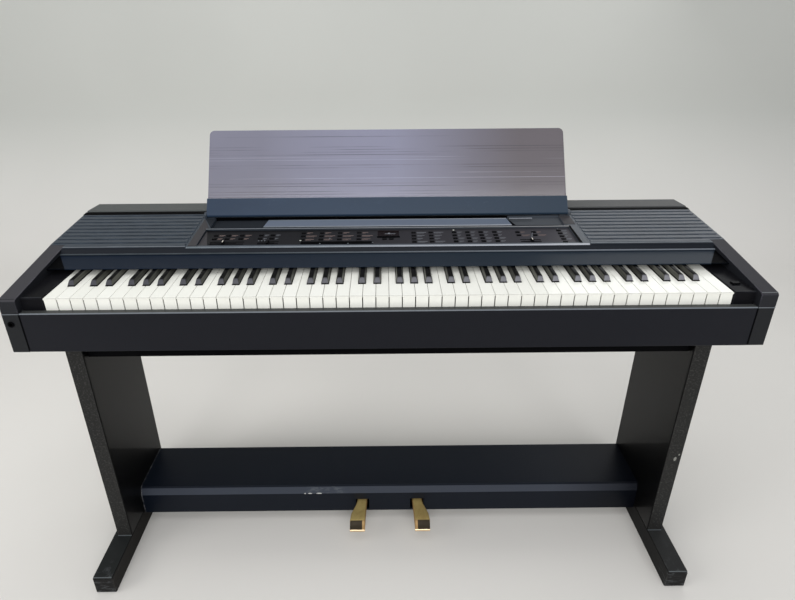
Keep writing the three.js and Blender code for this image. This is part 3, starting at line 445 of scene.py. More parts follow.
# these trims' pale colour is mostly painted highlight, and their change toward the right is painted light
covered("trim_silver", "trim_highlight_line", (0.3, 0.335, 0.36), 0.32, 1000, 4e-5, 0.3, 0.2, 0.5,
        worn=(0.75, 0.76, 0.8), stretch=ALONG_X, right=(0.65, 0.66, 0.69))
covered("bar_trim", "bar_trim", (0.33, 0.35, 0.37), 0.36, 1000, 4e-5, 0.3, 0.2, 0.4,
        worn=(0.6, 0.61, 0.63), stretch=ALONG_X, right=(0.5, 0.5, 0.5))
covered("line_lit_right", "lip_highlight_line", (0.18, 0.21, 0.23), 0.4, 1000, 4e-5, 0.4, 0.2, 0.25,
        worn=(0.5, 0.51, 0.53), stretch=ALONG_X, right=(0.42, 0.44, 0.47))
# pale grey that paints highlights on the grilles' front edges and the rail's corner, and colours the seam
# lines and the dim lamps
covered("line_grey", "pale_grey_line", (0.36, 0.38, 0.4), 0.4, 1000, 4e-5, 0.3, 0.2, 0.3,
        worn=(0.6, 0.61, 0.63), stretch=ALONG_X)
covered("print_brown", "print_brown", (0.47, 0.41, 0.395), 0.55, 1500, 2e-5, 0.3, 0.1, 0.1)
covered("print_grey", "print_grey", (0.43, 0.44, 0.46), 0.55, 1500, 2e-5, 0.3, 0.1, 0.1)
covered("lamp_pale", "small_lamp", (0.66, 0.67, 0.64), 0.3, 1500, 2e-5, 0.1, 0.1, 0.5)
print("with the lid:", len(finishes))

# %% [markdown]
# Nobody sees the speakers and the boards inside the closed case, but someone who opens the part
# does, so they get finishes of their own: paper cones, lacquered iron and green circuit boards.

# %% Define the finishes inside
covered("cone_black", "speaker_cone", (0.07, 0.07, 0.08), 0.8, 600, 2e-4, 0.2, 0.1)
covered("core_iron", "core_lacquer", (0.36, 0.37, 0.39), 0.5, 400, 2e-4, 0.2, 0.3)
covered("board_green", "circuit_board", (0.1, 0.3, 0.19), 0.5, 700, 1e-4, 0.2, 0.1,
        worn=(0.75, 0.66, 0.42), scuffs=0.5)
print("covered finishes:", len(finishes))

# %% [markdown]
# ## The stand
# The two leg boards are grainy at the front. The sides that face each other are smooth and almost
# black, and their grey is mostly a reflection: the pale stage above, and the dark pedal box below.
# So they get a clear coat, which reflects what is really there, and painted shade darkens them
# toward the bottom. The mask for these sides compares the normal with the side of the instrument
# that the point is on. The feet have the same mask, because their vinyl is brownish where they
# face each other. Their tops are painted lighter, by a different amount on each foot: painted light.

# %% Define the finishes of the legs and feet
FACES_MIDDLE = -0.1
LEG_SEAM = 0.0036
FOOT_SEAM = 0.004
COAT_STARTS = 0.004
CHIP_REACH = 0.004
LEG_CHIPS = [
    # x, z, half width, half height
    (0.5956, 0.2566, 0.0026, 0.0055),
    (0.602, 0.268, 0.0015, 0.0025),
]


def inner_side(recipe):
    return recipe.looks("X") * recipe.at("X") < FACES_MIDDLE


def leg_finish():
    recipe = Recipe("leg_board")
    leg_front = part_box("leg_right")[0].y
    inner, height = inner_side(recipe), recipe.at("Z")
    rise = recipe.ramp(height, 0.25, 0.6)
    cloud = recipe.noise(4.0, 4.0, 0.6, (1, 1, 0.4))
    recipe.body = recipe.mix(cloud, (0.11, 0.11, 0.11), (0.15, 0.15, 0.145))
    recipe.paint(recipe.patches(0.53, 0.65, 260.0, 4.0, 0.7) * 0.5, (0.32, 0.32, 0.31))
    # painted shade: the inner sides are darker toward the bottom
    recipe.paint(inner, recipe.mix(rise, (0.004, 0.004, 0.006), (0.02, 0.02, 0.018)))
    rubbed = recipe.edges(EDGE_RUB) * recipe.patches(0.45, 0.65, 50.0, 4.0, 0.7, least=0.1)
    recipe.paint(rubbed * 0.8, (0.34, 0.34, 0.33))
    seam = inner * (recipe.at("Y") < leg_front + LEG_SEAM)
    recipe.paint(seam * 0.9, (0.012, 0.012, 0.014))
    for x, z, half_width, half_height in LEG_CHIPS:
        chip = recipe.spot((x, leg_front, z), (half_width, CHIP_REACH, half_height))
        recipe.paint(chip * 0.85, (0.52, 0.52, 0.5))
    above_box_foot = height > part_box("pedal_box")[0].z + COAT_STARTS
    coat = inner * (1 - seam) * above_box_foot * 0.22
    fine = recipe.noise(650.0, 3.0, 0.6, (1, 1, 0.5))
    return recipe.finish(0.52 - inner * 0.1 + cloud * 0.08, recipe.bump(fine, 0.5, 1.2e-4), 0.1,
                         {"Coat Weight": coat, "Coat Roughness": 0.08})


def foot_finish():
    """Dark vinyl, scuffed around the toes, with painted light on the tops and a shadow line under the inner
    top edge.
    """
    recipe = Recipe("foot_vinyl")
    foot_low, foot_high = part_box("foot_left")
    inner, on_right = inner_side(recipe), recipe.at("X") > 0
    cloud = recipe.noise(5.0, 4.0, 0.6)
    recipe.body = recipe.mix(cloud, (0.04, 0.04, 0.042), (0.075, 0.073, 0.072))
    recipe.paint(inner, recipe.mix(on_right, (0.068, 0.055, 0.044), (0.075, 0.075, 0.073)))
    # painted light: the tops are lighter, by a different amount on each foot
    top_tone = recipe.mix(on_right, (0.118, 0.126, 0.126), (0.16, 0.162, 0.162))
    recipe.paint(recipe.looks("Z") > LOOKS_UP, top_tone)
    toe = recipe.ramp((recipe.at("Y") - foot_low.y) * 10, 0.0, 0.4, 1.0, 0.0)
    scratch = recipe.patches(0.54, 0.66, 110.0, 5.0, 0.75, (0.5, 0.5, 1.6), 0.6)
    recipe.paint(scratch * (toe * 0.5 + 0.06), (0.34, 0.35, 0.36))
    rubbed = recipe.edges(EDGE_RUB) * recipe.patches(0.4, 0.65, 35.0, 3.0, least=0.15)
    recipe.paint(rubbed, (0.36, 0.36, 0.35))
    seam = inner * (recipe.at("Z") > foot_high.z - FOOT_SEAM)
    recipe.paint(seam * 0.85, (0.012, 0.012, 0.012))
    fine = recipe.noise(700.0, 3.0, 0.6)
    return recipe.finish(0.48 + cloud * 0.1, recipe.bump(fine, 0.6, 1.4e-4), 0.12)


finishes["leg_board"] = leg_finish()
finishes["foot_vinyl"] = foot_finish()
print("legs and feet:", finishes["leg_board"].name, finishes["foot_vinyl"].name)

# %% [markdown]
# The pedal box is painted navy. Its long upper edge is sloped, and the slope catches the light, so
# a mask picks it out: it looks up, but not straight up, and it lies a little under the top. Small
# ragged spots on it stand for the chips that shoes have made.

# %% Define the finish of the pedal box
SLOPE_LOOKS_UP = (0.2, 0.8)
FLAT_TOP = 0.0045
SCUFFS_MIDDLE = -0.148
CHIP_DROP = 0.0197
CHIP_HALF_HEIGHT = 0.0014
BOX_CHIPS = ((-0.1845, 0.0045), (-0.163, 0.0062), (-0.196, 0.0018))
END_LINE = 0.0024


def box_finish():
    recipe = Recipe("pedal_box_paint")
    box_low, box_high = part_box("pedal_box")
    across, upward = recipe.at("X"), recipe.looks("Z")
    tilted = (upward > SLOPE_LOOKS_UP[0]) - (upward > SLOPE_LOOKS_UP[1])
    slope = tilted * (recipe.at("Z") < box_high.z - FLAT_TOP)
    cloud = recipe.noise(5.0, 4.0, 0.6, (0.4, 1, 1))
    recipe.body = recipe.mix(cloud, (0.036, 0.057, 0.093), (0.054, 0.078, 0.116))
    recipe.paint(slope, recipe.mix(cloud, (0.2, 0.225, 0.265), (0.235, 0.245, 0.275)))
    away = across - SCUFFS_MIDDLE
    scuffed = recipe.ramp(away * away * 400, 0.3, 0.9, 1.0, 0.0)
    brush = recipe.patches(0.48, 0.6, 230.0, 4.0, 0.75, (0.3, 1, 1))
    recipe.paint(scuffed * slope * brush * 0.4, (0.4, 0.42, 0.43))
    for x, half_width in BOX_CHIPS:
        radii = (half_width, CHIP_REACH, CHIP_HALF_HEIGHT)
        chip = recipe.spot((x, box_low.y, box_high.z - CHIP_DROP), radii, 420.0)
        recipe.paint(chip * 0.95, (0.7, 0.7, 0.69))
    # painted shadow: the box darkens toward its right end, beside the leg
    recipe.paint(recipe.ramp(across, 0.38, 0.56) * 0.75, (0.01, 0.012, 0.03))
    worn = recipe.patches(0.45, 0.62, 90.0, 4.0, 0.7, least=0.1)
    recipe.paint((across < box_low.x + END_LINE) * worn * 0.7, (0.4, 0.4, 0.41))
    scratch = recipe.patches(0.64, 0.72, 70.0, 6.0, 0.75, (0.5, 1, 1.6), 0.6)
    recipe.paint(scratch * recipe.patches(0.45, 0.6, 4.0, 2.0) * 0.3, (0.24, 0.25, 0.26))
    fine = recipe.noise(900.0, 3.0, 0.6)
    return recipe.finish(0.34 + cloud * 0.1, recipe.bump(fine, 0.5, 5e-5), 0.12)


finishes["box_paint"] = box_finish()
print("chips on the box:", len(BOX_CHIPS))

# %% [markdown]
# ## Metals
# The pedals are brass that many shoes have polished and that air has browned in between. Steel
# and zinc-plated sheet are plainer. Metal takes its look from the roughness, so a stained mask
# moves colour and roughness together.

# %% Define the metal finishes
METAL_RUB = 0.003
LIP_HEIGHT = 0.0052
INNER_STRIP = 0.011


def old_metal(name, colour, tarnish, roughness, grain_stretch, amount):
    recipe = Recipe(name)
    stain = recipe.patches(0.36, 0.66, 38.0, 5.0, 0.65, (1, 1, 1), 0.4)
    brushed = recipe.noise(420.0, 3.0, 0.6, grain_stretch)
    rubbed = recipe.edges(METAL_RUB)
    recipe.body = recipe.mix(stain * amount, colour, tarnish)
    recipe.paint(rubbed * 0.55, shade(colour, 1.35))
    rough = roughness + stain * 0.18 + brushed * 0.1 - rubbed * 0.1
    return recipe.finish(rough, recipe.bump(brushed, 0.35, 8e-5), extra={"Metallic": 1.0})


def pedal_brass():
    """Brass with a painted dark reflection on its nose, lighter at the inner end, and a painted highlight
    along its lower lip.
    """
    recipe = Recipe("pedal_brass")
    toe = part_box("pedal_right")[0]
    across, aside = recipe.at("X"), recipe.looks("X")
    lip = recipe.at("Z") < toe.z + LIP_HEIGHT
    nose = recipe.ramp(0 - recipe.looks("Y"), 0.35, 0.55) * (1 - lip)
    inner = across * across < (toe.x + INNER_STRIP) ** 2
    stain = recipe.patches(0.36, 0.66, 45.0, 5.0, 0.65, (1, 0.6, 1), 0.4)
    brushed = recipe.noise(420.0, 3.0, 0.6, (1, 0.12, 1))
    recipe.body = recipe.mix(stain * 0.6, (0.73, 0.65, 0.42), (0.58, 0.48, 0.28))
    recipe.paint(recipe.ramp(aside * aside, 0.25, 0.6) * 0.8, (0.66, 0.5, 0.31))
    recipe.paint(recipe.ramp((recipe.at("Y") - toe.y) * 10, 0.5, 0.75) * 0.6, (0.42, 0.33, 0.16))
    # painted reflection darkens the nose, less at its inner end, and a painted highlight brightens the lower
    # lip
    recipe.paint(nose, (0.15, 0.115, 0.05))
    recipe.paint(nose * inner, (0.58, 0.47, 0.31))
    recipe.paint(lip, (0.93, 0.83, 0.68))
    rough = 0.42 + stain * 0.12 + brushed * 0.1 - lip * 0.1
    return recipe.finish(rough, recipe.bump(brushed, 0.35, 8e-5), extra={"Metallic": 0.6 + lip * 0.3})


finishes["brass"] = pedal_brass()
finishes["steel"] = old_metal("turned_steel", (0.72, 0.72, 0.73), (0.5, 0.49, 0.47), 0.25, ALONG_X, 0.3)
finishes["sheet_steel"] = old_metal("zinc_sheet", (0.62, 0.63, 0.62), (0.5, 0.5, 0.47), 0.42, (1, 1, 1), 0.5)
print("metals:", [name for name in finishes if "steel" in name or name == "brass"])

# %% [markdown]
# ## The keys' plastics
# White key tops are a hard glossy plastic: nearly white, a hair different from key to key, with
# dust-grey in the corners and a painted shade line along the nosing. One random level for each key
# pitch gives every key its own shade.

# %% Define the white keys' finish
KEY_PITCH = 0.0235
KEYBOARD_HALF = 26 * KEY_PITCH
NOSING = 0.0012


def ivory_finish():
    recipe = Recipe("white_key_top")
    fresh, aged = (0.93, 0.93, 0.9), (0.87, 0.87, 0.83)
    key_low, key_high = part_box("white_keys_1")
    cloud = recipe.noise(24.0, 4.0, 0.6)
    recipe.body = recipe.mix(recipe.dice((recipe.at("X") + KEYBOARD_HALF) / KEY_PITCH) * 0.35, fresh, aged)
    recipe.paint(cloud * 0.25, aged)
    grime = recipe.edges(0.0015, 0.4) * recipe.patches(0.45, 0.7, 90.0, 4.0)
    recipe.paint(grime * 0.35, shade(aged, 0.7))
    # painted shade: a thin darker line along the nosing
    nosing = (recipe.at("Y") < key_low.y + NOSING) * (recipe.at("Z") > key_high.z - NOSING)
    recipe.paint(nosing * 0.55, shade(aged, 0.55))
    hair = recipe.noise(500.0, 2.0, 0.5, (1, 0.1, 1))
    return recipe.finish(0.26 + cloud * 0.08 + hair * 0.05, recipe.bump(hair, 0.15, 3e-5),
                         extra={"Coat Weight": 0.25, "Coat Roughness": 0.08})


finishes["ivory"] = ivory_finish()
print("white keys' finish:", finishes["ivory"].name)

# %% [markdown]
# The black keys are black only on top. Their sides mirror the white keys beside them and their
# noses catch the front lamp, so both are painted lighter, but only above the white keys.

# %% Define the black keys' finish
SHARP_FOOT_SHADE = 0.0018
SHOULDER_LINE = 0.0011


def ebony_finish():
    recipe = Recipe("black_key_top")
    above_foot = recipe.at("Z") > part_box("white_keys_1")[1].z + SHARP_FOOT_SHADE
    aside = recipe.looks("X")
    flank = recipe.ramp(aside * aside, 0.3, 0.8) * above_foot
    nose = recipe.ramp(0 - recipe.looks("Y"), 0.3, 0.7) * above_foot
    cloud = recipe.noise(60.0, 4.0, 0.6, (1, 0.3, 1))
    streak = recipe.patches(0.4, 0.6, 90.0, 3.0, 0.6, (1, 0.08, 1), least=0.35)
    recipe.body = recipe.mix(cloud, (0.01, 0.01, 0.013), (0.03, 0.03, 0.032))
    recipe.paint(flank * streak, (0.35, 0.35, 0.325))
    # painted light: the noses are lighter toward the right
    rightward = recipe.ramp(recipe.at("X") + X_SHIFT, 0.1, 0.9)
    recipe.paint(nose, recipe.mix(rightward, (0.27, 0.27, 0.29), (0.46, 0.46, 0.48)))
    # painted highlight: a patchy lighter line along the shoulders
    shoulder = recipe.edges(SHOULDER_LINE, 0.4) * recipe.ramp(cloud, 0.4, 0.6, 0.1) * above_foot
    recipe.paint(shoulder * 0.5, (0.4, 0.4, 0.4))
    return recipe.finish(0.24 + cloud * 0.1, recipe.bump(cloud, 0.2, 4e-5), 0.06)


finishes["ebony"] = ebony_finish()
print("black keys' finish:", finishes["ebony"].name)

# %% [markdown]
# ## The window and the smoked sheet
# The display's window is nearly black with a breath of red. The music rest is smoked acrylic,
# which is half clear, so the backdrop shows through it. Its fine horizontal pinstripes come from
# the height: what is left after dividing by the pitch draws each line, and a random level for
# each whole step says which lines are dark, pale or missing.

# %% Define the window and the smoked sheet
PINSTRIPE_PITCH = 0.0052
PINSTRIPE_SHARE = 0.2
DARK_BELOW, PALE_ABOVE = 0.45, 0.86


def window_finish():
    recipe = Recipe("display_window")
    cloud = recipe.noise(60.0, 2.0)
    recipe.body = recipe.mix(cloud, (0.035, 0.02, 0.022), (0.09, 0.05, 0.045))
    return recipe.finish(0.2 + cloud * 0.1, shine=0.08)


def smoked_sheet():
    recipe = Recipe("smoked_sheet")
    across = recipe.at("X")
    rows = recipe.at("Z") / PINSTRIPE_PITCH
    wave = recipe.node("ShaderNodeMath", {"operation": "FRACT"}, {0: rows})
    chance = recipe.dice(rows)
    line = (wave < PINSTRIPE_SHARE) * recipe.patches(0.42, 0.6, 3.4, 3.0, 0.6, (1, 1, 14))
    dark_line = line * (chance < DARK_BELOW)
    pale_line = line * (chance > PALE_ABOVE)
    cloud = recipe.noise(2.2, 3.0, 0.5, (1, 1, 1.6))
    recipe.body = recipe.mix(cloud, (0.43, 0.425, 0.48), (0.5, 0.5, 0.57))
    # painted reflection: the sheet is lighter across the middle and darker toward the right
    recipe.paint(recipe.ramp(across * across, 0.0, 0.08, 1.0, 0.0) * 0.6, (0.555, 0.56, 0.65))
    recipe.paint(recipe.ramp(across, 0.02, 0.3) * 0.8, (0.335, 0.3, 0.305))
    recipe.paint(recipe.patches(0.45, 0.62, 1.4, 2.0, 0.5, (1, 1, 2.2)) * 0.2, (0.44, 0.41, 0.425))
    recipe.paint(dark_line * 0.75, (0.25, 0.235, 0.26))
    recipe.paint(pale_line * 0.35, (0.68, 0.68, 0.74))
    cover = 0.74 + cloud * 0.1 + (dark_line + pale_line) * 0.1
    return recipe.finish(0.14 + cloud * 0.08, extra={
        "Alpha": cover.clamped(), "Coat Weight": 0.3, "Coat Roughness": 0.08, "IOR": 1.49})


finishes["display_red"] = window_finish()
finishes["smoke"] = smoked_sheet()
print("finishes in all:", len(finishes))

# %% [markdown]
# ## Giving the CAD solids their finish
# Every solid names a material slot in the packed record, so one loop can hand out the finishes. A
# CAD solid has knife-sharp edges, and real ones never do: a Weld modifier joins the loose
# triangles and a Bevel modifier rounds the edges without touching the solid itself.

# %% Hand out finishes and round the edges
WELD_REACH = 0.00001
ROUND_EDGE = {
    "case_vinyl": 0.0012, "arm_top": 0.0009, "rail_satin": 0.001, "lid_plastic": 0.0007,
    "panel_plastic": 0.0003, "fallboard_blue": 0.0006, "cap_grey": 0.0005, "knob_pale": 0.0006,
    "display_red": 0.0002, "smoke": 0.0009, "bar_slate": 0.0012, "steel": 0.0004,
    "sheet_steel": 0.0005, "board_green": 0.0002, "cone_black": 0.0004, "core_iron": 0.0006,
}
OWN_LOOK = {
    # the front apron gets deep black as painted shade under the rail
    "rear_cover": "rear_grey", "pedal_box": "box_paint", "front_apron": "deep_black", "lid_lip": "lip_dark",
    "key_block_left": "block_black", "key_block_right": "block_black", "headphone_jack": "deep_black",
    "foot_left": "foot_vinyl", "foot_right": "foot_vinyl", "side_cap_left": "arm_top_left_lit",
    "leg_left": "leg_board", "leg_right": "leg_board",
}


def rounded(thing, width, segments=2, angle=32):
    weld = thing.modifiers.new("join_triangles", "WELD")
    weld.merge_threshold = WELD_REACH
    flat = thing.modifiers.new("join_flat_faces", "DECIMATE")
    flat.decimate_type = "DISSOLVE"
    flat.angle_limit = math.radians(1)
    bevel = thing.modifiers.new("round_edges", "BEVEL")
    bevel.width = width
    bevel.segments = segments
    bevel.limit_method = "ANGLE"
    bevel.angle_limit = math.radians(angle)


def dress(thing, look):
    thing.data.materials.clear()
    thing.data.materials.append(finishes[look])


slot_of = {entry["node"]: entry["material_slot"] for entry in frame["record"]["subparts"]}
for node_name, solid in frame["nodes"].items():
    slot_name = slot_of[node_name]
    dress(solid, OWN_LOOK.get(node_name, slot_name))
    if slot_name in ROUND_EDGE:
        rounded(solid, ROUND_EDGE[slot_name])
print("dressed:", len(slot_of))

# %% [markdown]
# ## A mould for small closed shapes
# Trim, keys and pedals are small, exact shapes, so they are given as corners and faces and need no
# modelling by hand. A mould collects plates, rods and lofts, can stand on a slope while it is
# filled, and casts them all as one mesh. Each casting then gets its finish and the body that
# carries it, and, where it stands for a solid, that solid is hidden.

# %% Define the mould
HAIR = 0.0001
THIN = 0.0004


def rectangle(left, right, front, back):
    return [(left, front), (right, front), (right, back), (left, back)]


def settle(piece, body, slot_name, look=None, replaced=None):
    """Gives a new piece its finish and its body, and hides the solid that it stands for."""
    dress(piece, look or slot_name)
    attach(piece, body)
    if replaced:
        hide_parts(replaced)


class Mould:
    """Collects closed shapes into one mesh, in the frame's axes or in others that place() turns back."""

    def __init__(self, place=None):
        self.place = place
        self.corners = []
        self.faces = []

    def loft(self, rings):
        """Rings of equal length joined into a skin and closed at both ends."""
        start, count = len(self.corners), len(rings[0])
        last = start + (len(rings) - 1) * count
        for ring in rings:
            self.corners += ring
        for a in range(start, last, count):
            for i in range(count):
                j = (i + 1) % count
                self.faces.append((a + i, a + j, a + count + j, a + count + i))
        self.faces.append(tuple(start + i for i in reversed(range(count))))
        self.faces.append(tuple(last + i for i in range(count)))
        return self

    def prism(self, outline, low, high):
        """An (x, y) outline, counter-clockwise from above, from z low to z high."""
        return self.loft([[(x, y, z) for x, y in outline] for z in (low, high)])

    def slab(self, left, right, front, back, low, high):
        """A plate between six planes."""
        return self.prism(rectangle(left, right, front, back), low, high)

    def rod(self, outline, left, right):
        """A (y, z) outline pulled along X."""
        return self.loft([[(x, y, z) for y, z in outline] for x in (left, right)])

    def cast(self, name, smooth=False):
        corners = [self.place(*corner) for corner in self.corners] if self.place else self.corners
        made = mesh_object(name, corners, self.faces)
        shape = bmesh.new()
        shape.from_mesh(made.data)
        bmesh.ops.recalc_face_normals(shape, faces=shape.faces)
        shape.to_mesh(made.data)
        shape.free()
        for polygon in made.data.polygons:
            polygon.use_smooth = smooth
        return made

    def fix(self, name, look, slot_name="lid_plastic"):
        """Casts a piece that belongs to the case."""
        piece = self.cast(name)
        settle(piece, "case", slot_name, look)
        return piece


print("mould ready, smallest gap:", HAIR)

# %% [markdown]
# ## Eighty-eight keys
# In CAD each octave's keys are one comb. Here every key is drawn by itself: a white key is a
# plate with a rounded nose over a set-back front, and its tail is cut away for the black keys.
# Plain outlines pulled up to a solid are enough, and a Bevel modifier softens them.

# %% Work out the keyboard's outlines
WHITE_COUNT = 52
KEY_GAP = 0.0007
SHARP_WIDTH = 0.0132
# by a white key's number in its octave: how far right of its border, in pitches, the next sharp stands
SHARP_SHIFT_SHARES = {0: 0.14, 2: -0.1, 3: 0.1, 5: -0.14, 6: 0.0}
COMB_STARTS = [0, 9, 16, 23, 30, 37, 44, WHITE_COUNT]

white_low, white_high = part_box("white_keys_1")
black_low, black_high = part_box("black_keys_1")
KEY_FRONT, KEY_REAR, KEY_TOP = white_low.y, white_high.y, white_high.z
HEAD_BACK = black_low.y - KEY_GAP
COMBS = range(1, len(COMB_STARTS))


def comb_keys(comb):
    return range(COMB_STARTS[comb - 1], COMB_STARTS[comb])


def key_border(index):
    return (index + 1) * KEY_PITCH - KEYBOARD_HALF


def has_sharp(index):
    return 0 <= index < WHITE_COUNT - 1 and index % 7 in SHARP_SHIFT_SHARES


def sharp_middle(index):
    return key_border(index) + SHARP_SHIFT_SHARES[index % 7] * KEY_PITCH


def white_sides(index):
    left = key_border(index - 1) + KEY_GAP / 2
    right = key_border(index) - KEY_GAP / 2
    half_slot = SHARP_WIDTH / 2 + KEY_GAP
    tail_left = sharp_middle(index - 1) + half_slot if has_sharp(index - 1) else left
    tail_right = sharp_middle(index) - half_slot if has_sharp(index) else right
    return left, right, tail_left, tail_right


print("keyboard:", round(2 * KEYBOARD_HALF, 4), "m wide")

# %% [markdown]
# Only the thin top plate of a white key needs the cut-away outline. Its front and its body hide
# under the plate, a hair narrower, so that a shadow line shows all around.

# %% Mould the white keys
PLATE = 0.008
NOSE_PLATE = 0.0035
FRONT_SET_BACK = 0.0009
FRONT_DEPTH = 0.003
BODY_INSET = 0.0005
PLATE_ROUND = 0.0006


def white_key(mould, index):
    left, right, tail_left, tail_right = white_sides(index)
    outline = [(left, KEY_FRONT), (right, KEY_FRONT)]
    if tail_right < right:
        outline += [(right, HEAD_BACK), (tail_right, HEAD_BACK)]
    outline += [(tail_right, KEY_REAR), (tail_left, KEY_REAR)]
    if tail_left > left:
        outline += [(tail_left, HEAD_BACK), (left, HEAD_BACK)]
    mould.prism(outline, KEY_TOP - NOSE_PLATE, KEY_TOP)
    front, under_plate = KEY_FRONT + FRONT_SET_BACK, KEY_TOP - NOSE_PLATE - HAIR
    mould.slab(left + BODY_INSET, right - BODY_INSET, front, front + FRONT_DEPTH, white_low.z, under_plate)
    mould.slab(tail_left + BODY_INSET, tail_right - BODY_INSET, front + FRONT_DEPTH + 2 * HAIR, KEY_REAR,
               KEY_TOP - PLATE, under_plate)


for comb in COMBS:
    mould = Mould()
    for index in comb_keys(comb):
        white_key(mould, index)
    piece = mould.cast(f"white_octave_{comb}")
    rounded(piece, PLATE_ROUND, 3, 40)
    settle(piece, f"white_keys_{comb}", "ivory", replaced=f"white_keys_{comb}")
print("white keys:", WHITE_COUNT)

# %% [markdown]
# A black key is a wedge: wider at its foot, with a sloping nose and softly rounded shoulders. It
# is lofted from a few cross-sections, each a rounded arch, so that light runs along its shoulders
# as a thin line.

# %% Mould the black keys
SHARP_TOP_WIDTH = 0.0098
SHARP_NOSE = 0.0075
SHARP_ROUND = 0.0022
SHARP_TAIL_HALF = 0.0045
SHARP_TAIL = (0.0007, 0.006)
FOOT_RISE = 0.0002
ROUND_SHARE = 0.9
SHARP_FOOT, SHARP_TOP = black_low.z, black_high.z
SHARP_BACK = KEY_REAR - 0.075
NOSE_STEPS, SHOULDER_STEPS = 6, 4


def arch(middle, y, top):
    """A cross-section of a black key, from its left foot over the top to its right foot."""
    foot_half, top_half = SHARP_WIDTH / 2, SHARP_TOP_WIDTH / 2
    lean = (foot_half - top_half) / (SHARP_TOP - KEY_TOP)
    half_at = top_half + lean * (SHARP_TOP - top)
    points = [(middle - foot_half, y, SHARP_FOOT), (middle - foot_half, y, KEY_TOP + FOOT_RISE)]
    radius = min(SHARP_ROUND, max(top - KEY_TOP - 2 * FOOT_RISE, FOOT_RISE) * ROUND_SHARE)
    for step in range(SHOULDER_STEPS + 1):
        angle = math.pi / 2 * step / SHOULDER_STEPS
        x = middle - half_at + radius * (1 - math.cos(angle))
        points.append((x, y, top - radius * (1 - math.sin(angle))))
    return points + [(2 * middle - x, y, z) for x, y, z in reversed(points)]


def black_key(mould, middle):
    front, rise = black_low.y, SHARP_TOP - KEY_TOP
    rings = []
    for step in range(NOSE_STEPS + 1):
        angle = math.pi / 2 * step / NOSE_STEPS
        share = math.sin(angle)
        y = front + SHARP_NOSE * (0.12 + 0.62 * share * share + 0.26 * (1 - math.cos(angle)))
        height = KEY_TOP + rise * (0.08 + 0.92 * share ** 0.9)
        rings.append(arch(middle, y if step else front, min(height, SHARP_TOP)))
    for share in (0.35, 0.7, 1.0):
        rings.append(arch(middle, front + SHARP_NOSE + (SHARP_BACK - front - SHARP_NOSE) * share, SHARP_TOP))
    mould.loft(rings)
    mould.slab(middle - SHARP_TAIL_HALF, middle + SHARP_TAIL_HALF, SHARP_BACK + 2 * HAIR, black_high.y,
               KEY_TOP + SHARP_TAIL[0], KEY_TOP + SHARP_TAIL[1])


for comb in COMBS:
    mould = Mould()
    for index in filter(has_sharp, comb_keys(comb)):
        black_key(mould, sharp_middle(index))
    piece = mould.cast(f"black_octave_{comb}", smooth=True)
    settle(piece, f"black_keys_{comb}", "ebony", replaced=f"black_keys_{comb}")
print("black keys:", sum(has_sharp(index) for index in range(WHITE_COUNT)))

# %% [markdown]
# ## The lid's slope
# The lid slopes, so its small pieces are drawn on the slope: `along` runs up it from the front
# edge and `above` stands on it. Every depth and height of the lid below is in these two measures.

# %% Set up the slope of the lid
SIDES = ((-1, "left"), (1, "right"))
LID_SLOPE = math.radians(5)
console_low, console_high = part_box("console_frame")
lip_low, lip_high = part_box("lid_lip")
LID_EDGE_Y = console_low.y
LID_STEP = 0.0003
LID_EDGE_Z = lip_high.z + LID_STEP
CONSOLE_HALF = console_high.x
RIB_RISE = 0.0016
PANEL_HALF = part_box("control_panel")[1].x
PANEL_FRONT, PANEL_DEPTH, PANEL_TOP = 0.0053, 0.0694, -0.004
TRAY_FRONT, TRAY_BACK, TRAY_FLOOR, TRAY_HALF = 0.080, 0.126, -0.007, 0.378
STRIP_BACK, STRIP_TOP, STRIP_HALF = 0.113, 0.0004, 0.265


def on_lid(x, along, above):
    return (x, LID_EDGE_Y + along * math.cos(LID_SLOPE) - above * math.sin(LID_SLOPE),
            LID_EDGE_Z + along * math.sin(LID_SLOPE) + above * math.cos(LID_SLOPE))


print("panel half width:", round(PANEL_HALF, 4))

# %% [markdown]
# ## Trim strips
# Bright strips run along the lid's lip, around the panel and in front of the grilles. Their pale
# colour is mostly painted highlight. Each is one small outline pulled along X. A rounded upper edge
# matters more than its size, because the light on it is what the eye sees.

# %% Lay the trim strips
STRIP_ROUND_SHARE = 0.8
BAR_OUTLINE = (0.0724, 0.0797, 0.0002, 0.0005)
BAR_TRIM = (0.0722, 0.0746, 0.0006, 0.0014)
GRILLE_TRIM = (0.0003, 0.0022, HAIR, 0.0012)
GRILLE_GAP, GRILLE_END = 0.003, 0.001
NOSE_OUTLINE = [(-0.0003, 0.0001), (-0.0022, 0.0001), (-0.0038, -0.0013), (-0.0044, -0.0010),
                (-0.0036, 0.0001), (-0.0023, 0.0009), (-0.0003, 0.0010)]
LIP_OUTLINE = [(-HAIR, 0), (0.0009, 0.0021), (-0.0012, 0.0019), (-0.0017, 0.0012), (-0.0016, 0)]


def bead(front, back, low, high, steps=5):
    """The outline of a strip whose upper front edge is rounded."""
    radius = min(high - low, back - front) * STRIP_ROUND_SHARE
    outline = [(back, low), (back, high)]
    for step in range(steps + 1):
        angle = math.pi / 2 * step / steps
        outline.append((front + radius * (1 - math.sin(angle)), high - radius * (1 - math.cos(angle))))
    return outline + [(front, low)]


def moved(outline, y, z):
    return [(y + along, z + above) for along, above in outline]


